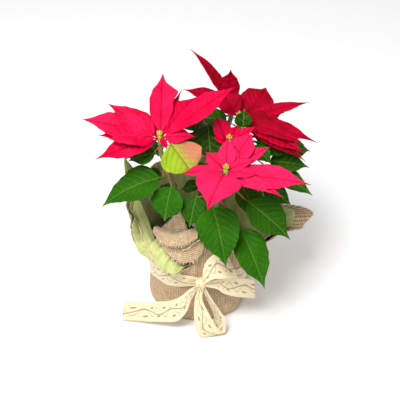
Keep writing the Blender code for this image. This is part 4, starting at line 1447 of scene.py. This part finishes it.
# %% Stations of the ribbon
RIBBON_WIDTH = 38.0
STRIPS = {
    "upper_loop": (
        ((4, -87, 93), (5, -88, 85)),
        ((9, -87, 127), (21, -98, 106)),
        ((21, -84, 142), (35, -103, 112)),
        ((32, -82, 143), (47, -101, 111)),
        ((44, -80, 134), (58, -91, 104)),
        ((37, -80, 134), (49, -86, 99)),
        ((21, -82, 131), (34, -87, 96)),
        ((4, -84, 93), (5, -85, 84)),
    ),
    "lower_loop": (
        ((0, -90, 85), (8, -90, 85)),
        ((-6, -97, 65), (6, -97, 65)),
        ((-7, -108, 40), (17, -106, 42)),
        ((-3, -112, 14), (28, -110, 19)),
        ((5, -113, 2), (38, -110, 9)),
        ((14, -111, 3), (42, -104, 13)),
        ((23, -93, 9), (41, -106, 33)),
        ((22, -88, 28), (33, -100, 43)),
        ((14, -87, 50), (23, -95, 58)),
        ((3, -87, 84), (9, -89, 85)),
    ),
    "left_tail": (
        ((1, -90, 92), (0, -90, 83)),
        ((-14, -95, 85), (-11, -97, 65)),
        ((-28, -94, 68), (-18, -100, 43)),
        ((-45, -90, 56), (-33, -98, 22)),
        ((-63, -86, 51), (-59, -92, 14)),
        ((-81, -83, 46), (-79, -86, 9)),
        ((-116, -75, 40), (-118, -77, 3)),
    ),
    "right_tail": (
        ((6, -88, 92), (6, -88, 84)),
        ((26, -88, 98), (27, -91, 81)),
        ((40, -86, 100), (39, -92, 72)),
        ((61, -78, 92), (59, -86, 60)),
        ((85, -62, 74), (87, -72, 44)),
    ),
}
print("stations of each strip", {name: len(stations) for name, stations in STRIPS.items()})

# %% [markdown]
# ### The satin and its ornament
#
# Satin is woven so that long threads lie on top, which gives it a soft shine across its width. A thin brown
# vine with small leaves runs along the ribbon. It is drawn from the UV map, in decimetres of ribbon: a sine
# line for its stem, a second one that twines round it, and an oval for each leaf. As a pattern it follows
# every bend, and it costs no faces.

# %% Satin
SATIN = new_finish("ribbon_satin", 0.42, Sheen_Weight=0.2, Specular_IOR_Level=0.4, Anisotropic=0.4)
satin_flat, satin_along, satin_across = cut_coordinates(SATIN)
satin_patch = noise_of(SATIN, satin_flat, 6.0, 3.0)
satin_colour = blend_of(SATIN, satin_patch, (0.7, 0.56, 0.33, 1), (0.8, 0.69, 0.45, 1))
print("nodes of the plain satin", len(SATIN.node_tree.nodes))


# %% A swinging line and a row of leaves
def line_of(finish, along, across, middle, swing, wave, start, width):
    """A thin line that swings about the middle of the ribbon: 1 on the line, 0 beside it."""
    angle = sum_of(finish, "MULTIPLY_ADD", along, 2 * pi / wave, start)
    offset = sum_of(finish, "MULTIPLY_ADD", sum_of(finish, "SINE", angle), swing, middle)
    apart = sum_of(finish, "ABSOLUTE", sum_of(finish, "SUBTRACT", across, offset))
    return step_of(finish, apart, width, 0.4 * width)


def leaves_of(finish, along, across, middle, every, size):
    """A row of small oval leaves, one on each stretch of ribbon: 1 inside, 0 outside."""
    share = sum_of(finish, "FRACT", sum_of(finish, "MULTIPLY", along, 1 / every))
    ahead = sum_of(finish, "MULTIPLY_ADD", share, every / size, -0.5 * every / size)
    aside = sum_of(finish, "MULTIPLY_ADD", across, 1.9 / size, -1.9 * middle / size)
    tilted = sum_of(finish, "MULTIPLY_ADD", ahead, -0.5, aside)
    square = sum_of(finish, "MULTIPLY_ADD", ahead, ahead, sum_of(finish, "MULTIPLY", tilted, tilted))
    return step_of(finish, square, 1.1, 0.8)


# %% The vine
VINE_MIDDLE = 0.19
VINE_SWING = 0.05
VINE_WAVE = 0.5
TENDRIL_SWING = 0.08
TENDRIL_WAVE = 0.25
LEAF_EVERY = 0.25
LEAF_LENGTH = 0.035
LEAF_ASIDE = 0.08
VINE_BROWN = (0.16, 0.09, 0.05, 1)
vine = line_of(SATIN, satin_along, satin_across, VINE_MIDDLE, VINE_SWING, VINE_WAVE, 0.0, 0.015)
tendril = line_of(SATIN, satin_along, satin_across, VINE_MIDDLE, TENDRIL_SWING, TENDRIL_WAVE, 1.2, 0.011)
upper_middle, lower_middle = VINE_MIDDLE + LEAF_ASIDE, VINE_MIDDLE - LEAF_ASIDE
upper_row = leaves_of(SATIN, satin_along, satin_across, upper_middle, LEAF_EVERY, LEAF_LENGTH)
moved_along = sum_of(SATIN, "ADD", satin_along, LEAF_EVERY / 2)
lower_row = leaves_of(SATIN, moved_along, satin_across, lower_middle, LEAF_EVERY, LEAF_LENGTH)
ornament = sum_of(SATIN, "MAXIMUM", vine, sum_of(SATIN, "MULTIPLY", tendril, 0.85))
ornament = sum_of(SATIN, "MAXIMUM", ornament, sum_of(SATIN, "MAXIMUM", upper_row, lower_row))
ornament = sum_of(SATIN, "MULTIPLY", ornament, 0.75)
colour_with(SATIN, blend_of(SATIN, ornament, satin_colour, VINE_BROWN))
print("leaves on a metre of ribbon", round(2 * 10 / LEAF_EVERY))

# %% Ribs and creases of the satin
satin_rib = sum_of(SATIN, "SINE", sum_of(SATIN, "MULTIPLY", satin_along, 900.0))
satin_crease_way = wire(SATIN, "Mapping", {0: satin_flat, "Scale": (3.0, 14.0, 1.0)}).outputs[0]
satin_crease = raise_with(SATIN, noise_of(SATIN, satin_crease_way, 1.0, 3.0, 0.5), 3.0, 0.6)
relief_with(SATIN, raise_with(SATIN, satin_rib, 0.08, 0.4, satin_crease))
print("nodes of the finished satin", len(SATIN.node_tree.nodes))

# %% [markdown]
# ### Loops, tails and the turn round the pot
#
# Each strip is a grid between its two smooth edges, pleated where it runs into the knot and a little slack
# elsewhere. The turn round the pot follows the hessian's own path at every azimuth, just outside it, so it
# can't sink in. The lengths are counted on from strip to strip, so the ornament runs through as on one
# piece of ribbon.


# %% A strip between two edges
STRIP_COLUMNS = 16
STRIP_ROWS = 70
UV_WIDTH = RIBBON_WIDTH / 100


def strip_into(work, stations, start, reach):
    """Add a length of ribbon through stations, each given as its two edges, with pleats near the knot."""
    ones = [station[0] for station in stations]
    others = [station[1] for station in stations]

    def place_of(u, v):
        one, other = smooth_at(ones, u), smooth_at(others, u)
        ahead = smooth_at(ones, u + 0.02) - smooth_at(ones, u - 0.02)
        facing = ahead.cross(other - one).normalized()
        middle = one.lerp(other, v)
        pleat = 1.3 * cos(5 * pi * v + 1) * exp(-(middle - KNOT).length / 20)
        slack = 1.4 * noise.noise(middle * 0.035 + Vector((start, 0, 0)))
        return middle + facing * (pleat + slack), (start + reach * u, UV_WIDTH * v)

    grid_into(work, STRIP_ROWS, STRIP_COLUMNS, place_of)


# %% Lay the loops and tails
FIRST_START = 5.0
ribbon_work = bmesh.new()
strip_start = FIRST_START
for stations in STRIPS.values():
    middles = [(Vector(one) + Vector(other)) / 2 for one, other in stations]
    strip_reach = sum((b - a).length for a, b in zip(middles, middles[1:])) / 100
    strip_into(ribbon_work, stations, strip_start, strip_reach)
    strip_start += strip_reach
print("loops and tails are", round(10 * (strip_start - FIRST_START)), "cm long")


# %% The turn round the pot
BAND_CLEARANCE = 1.9
BAND_ROWS = 160
BAND_LENGTH = 4.8


def band_place(azimuth, above):
    """Place on the hessian's outside at a height above or below the tie, with room for the ribbon."""
    height = tie_height(azimuth) + above
    path = cloth_path(azimuth, False)
    for (r0, z0), (r1, z1) in zip(path[FLOOR_ROWS:], path[FLOOR_ROWS + 1 :]):
        if z0 <= height <= z1:
            radius = BAND_CLEARANCE + r0 + (r1 - r0) * (height - z0) / (z1 - z0)
            return heading(azimuth) * radius, height
    return heading(azimuth) * (BAND_CLEARANCE + WAIST_RADIUS), height


def band_point(u, v):
    """The ribbon's turn round the pot, gathered towards the knot."""
    azimuth = 360 * u
    from_knot = abs((azimuth - 270 + 180) % 360 - 180)
    half = 0.5 * RIBBON_WIDTH * min(0.35 + from_knot / 60, 1.0)
    folded_under = 0.4 * exp(-(((azimuth - 205) / 35) ** 2))
    above = half * (2 * v - 1) * (1 - folded_under * (v < 0.5))
    place, height = band_place(azimuth, above)
    pleat = 0.8 * (1 + cos(5 * pi * v)) * exp(-from_knot / 14)
    return place + heading(azimuth) * pleat + Vector((0, 0, height)), (BAND_LENGTH * u, UV_WIDTH * v)


print("the turn is", round(20 * pi * WAIST_RADIUS / 100), "cm round at the waist")

# %% Make the ribbon
RIBBON_THICKNESS = 0.6
grid_into(ribbon_work, BAND_ROWS, STRIP_COLUMNS, band_point)
bmesh.ops.remove_doubles(ribbon_work, verts=ribbon_work.verts, dist=MERGE_DISTANCE)
ribbon = add_piece("ribbon_bow", ribbon_work, [SATIN])
thicken(ribbon, RIBBON_THICKNESS, 1.0)
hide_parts("ribbon")
print("ribbon", len(ribbon.data.polygons), "faces")

# %% [markdown]
# ### The knot
#
# The knot is ribbon that is wrapped tight round itself. Its inside can't be seen, so a ball from
# `bmesh.ops.create_uvsphere`, flattened and pressed into pleats, stands for it, where all strips meet.

# %% Make the knot
KNOT_HALVES = (8.5, 7, 8)
knot_work = bmesh.new()
bmesh.ops.create_uvsphere(knot_work, u_segments=48, v_segments=32, radius=1.0)
for vert in knot_work.verts:
    pleat = 1 + 0.12 * sin(7 * vert.co.x + 1.5 * vert.co.z) + 0.05 * sin(13 * vert.co.x)
    flattened = Vector([half * value for half, value in zip(KNOT_HALVES, vert.co)])
    vert.co = (KNOT + flattened * pleat) * MM
knot = add_piece("ribbon_knot", knot_work, [SATIN])
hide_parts("ribbon")
print("knot", len(knot.data.polygons), "faces")

# %% [markdown]
# ## Pot and soil
#
# The plant stands in a plain nursery pot of dark plastic, filled with moist peat and bark. The pot's solid
# has its real shape, so it stays, and only gets a finish: slightly scuffed, matt, with the grain of a
# moulding. The soil's solid stays too, and its finish has dark and lighter crumbs.

# %% Pot plastic and soil
PLASTIC = new_finish("pot_plastic", 0.55, Specular_IOR_Level=0.4)
plastic_place = place_coordinates(PLASTIC)
plastic_scuff = noise_of(PLASTIC, plastic_place, 90.0, 4.0)
colour_with(PLASTIC, blend_of(PLASTIC, plastic_scuff, (0.04, 0.028, 0.024, 1), (0.07, 0.05, 0.042, 1)))
relief_with(PLASTIC, raise_with(PLASTIC, noise_of(PLASTIC, plastic_place, 900.0, 2.0), 0.15, 0.4))
SOIL = new_finish("potting_soil", 0.95, Specular_IOR_Level=0.15)
soil_grain = noise_of(SOIL, place_coordinates(SOIL), 350.0, 4.0)
soil_share = step_of(SOIL, soil_grain, 0.35, 0.7)
colour_with(SOIL, blend_of(SOIL, soil_share, (0.012, 0.007, 0.004, 1), (0.07, 0.04, 0.022, 1)))
relief_with(SOIL, raise_with(SOIL, soil_grain, 2.0, 0.9))
for node_name, finish in (("pot", PLASTIC), ("soil", SOIL)):
    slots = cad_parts[node_name].data.materials
    slots.clear()
    slots.append(finish)
    print(node_name, "has", finish.name)

# %% [markdown]
# ### Crumbs of soil
#
# A smooth finish alone leaves the soil's surface too even where it is seen at a low angle. A few hundred
# small crumbs on top break it up. Each is an icosphere with few faces, squashed by its own matrix, because
# a shape that is repeated so often has to be light.

# %% Crumbs of soil
CRUMBS = 260
CRUMB_FIELD = 54
crumb_draw = Random("crumbs")
crumb_work = bmesh.new()
for crumb in range(CRUMBS):
    azimuth, away = crumb_draw.uniform(0, 360), CRUMB_FIELD * crumb_draw.random() ** 0.5
    spot = point_at(azimuth, away, SOIL_HEIGHT + 0.3)
    size = Matrix.Diagonal([crumb_draw.uniform(0.8, 2.4) * MM for axis in range(3)]).to_4x4()
    bmesh.ops.create_icosphere(
        crumb_work, subdivisions=1, radius=1.0, matrix=Matrix.Translation(spot * MM) @ size
    )
crumb_piece = add_piece("soil_crumbs", crumb_work, [SOIL])
print("crumbs", len(crumb_piece.data.polygons), "faces")

# %% [markdown]
# ## Floor and light
#
# The plant is shown as in a shop's catalogue: on a white ground, in soft light from the front left. The
# white world lights it from all sides, so the floor fades into the background, and one large square lamp
# gives the direction and a soft shadow. More lamps would wash out the veins. The floor is staged, so it
# isn't part of the object.

# %% Floor and world
WORLD_STRENGTH = 0.7
FLOOR = new_finish("studio_floor", 0.8, Specular_IOR_Level=0.1)
shader_of(FLOOR).inputs["Base Color"].default_value = (0.92, 0.92, 0.92, 1)
floor_work = bmesh.new()
bmesh.ops.create_grid(floor_work, x_segments=1, y_segments=1, size=6.0)
floor_mesh = bpy.data.meshes.new("floor")
floor_work.to_mesh(floor_mesh)
floor_work.free()
floor_mesh.materials.append(FLOOR)
floor = bpy.data.objects.new("floor", floor_mesh)
bpy.context.scene.collection.objects.link(floor)

world = bpy.data.worlds.new("studio")
bpy.context.scene.world = world
world.use_nodes = True
background = world.node_tree.nodes["Background"]
background.inputs["Color"].default_value = (1.0, 1.0, 1.0, 1)
background.inputs["Strength"].default_value = WORLD_STRENGTH
bpy.context.scene.view_settings.view_transform = "Standard"
print("floor", [round(v, 1) for v in floor.dimensions], "world strength", WORLD_STRENGTH)


# %% Key light
def soft_light(name, place, aim, size, power):
    """A square area light that points at a place."""
    lamp = bpy.data.lights.new(name, "AREA")
    lamp.size = size
    lamp.energy = power
    made = bpy.data.objects.new(name, lamp)
    made.location = place
    made.rotation_euler = (Vector(aim) - Vector(place)).to_track_quat("-Z", "Y").to_euler()
    bpy.context.scene.collection.objects.link(made)
    return made


key = soft_light("key", (-0.45, -0.8, 1.65), (0, 0, 0.2), 0.8, 37)
print("the key light is", round(key.location.length, 2), "m away")

# %% [markdown]
# ## Camera
#
# The plant is seen from close by and from above, at nearly forty degrees. A lens of 78 mm on a full-frame
# sensor, about 1.3 m away, gives that view, with the same slight narrowing towards the pot.

# %% Camera
CAMERA_PLACE = Vector((0.002, -1.0382, 0.9604))
CAMERA_AIM = Vector((0.002, 0.0, 0.178))
lens = bpy.data.cameras.new("camera")
lens.lens = 78.0
lens.sensor_width = 36.0
camera = bpy.data.objects.new("camera", lens)
camera.location = CAMERA_PLACE
view = CAMERA_AIM - camera.location
camera.rotation_euler = view.to_track_quat("-Z", "Y").to_euler()
bpy.context.scene.collection.objects.link(camera)
bpy.context.scene.camera = camera
print("the camera is", round(view.length, 2), "m away and looks down", round(-degrees(atan2(view.z, view.y))))
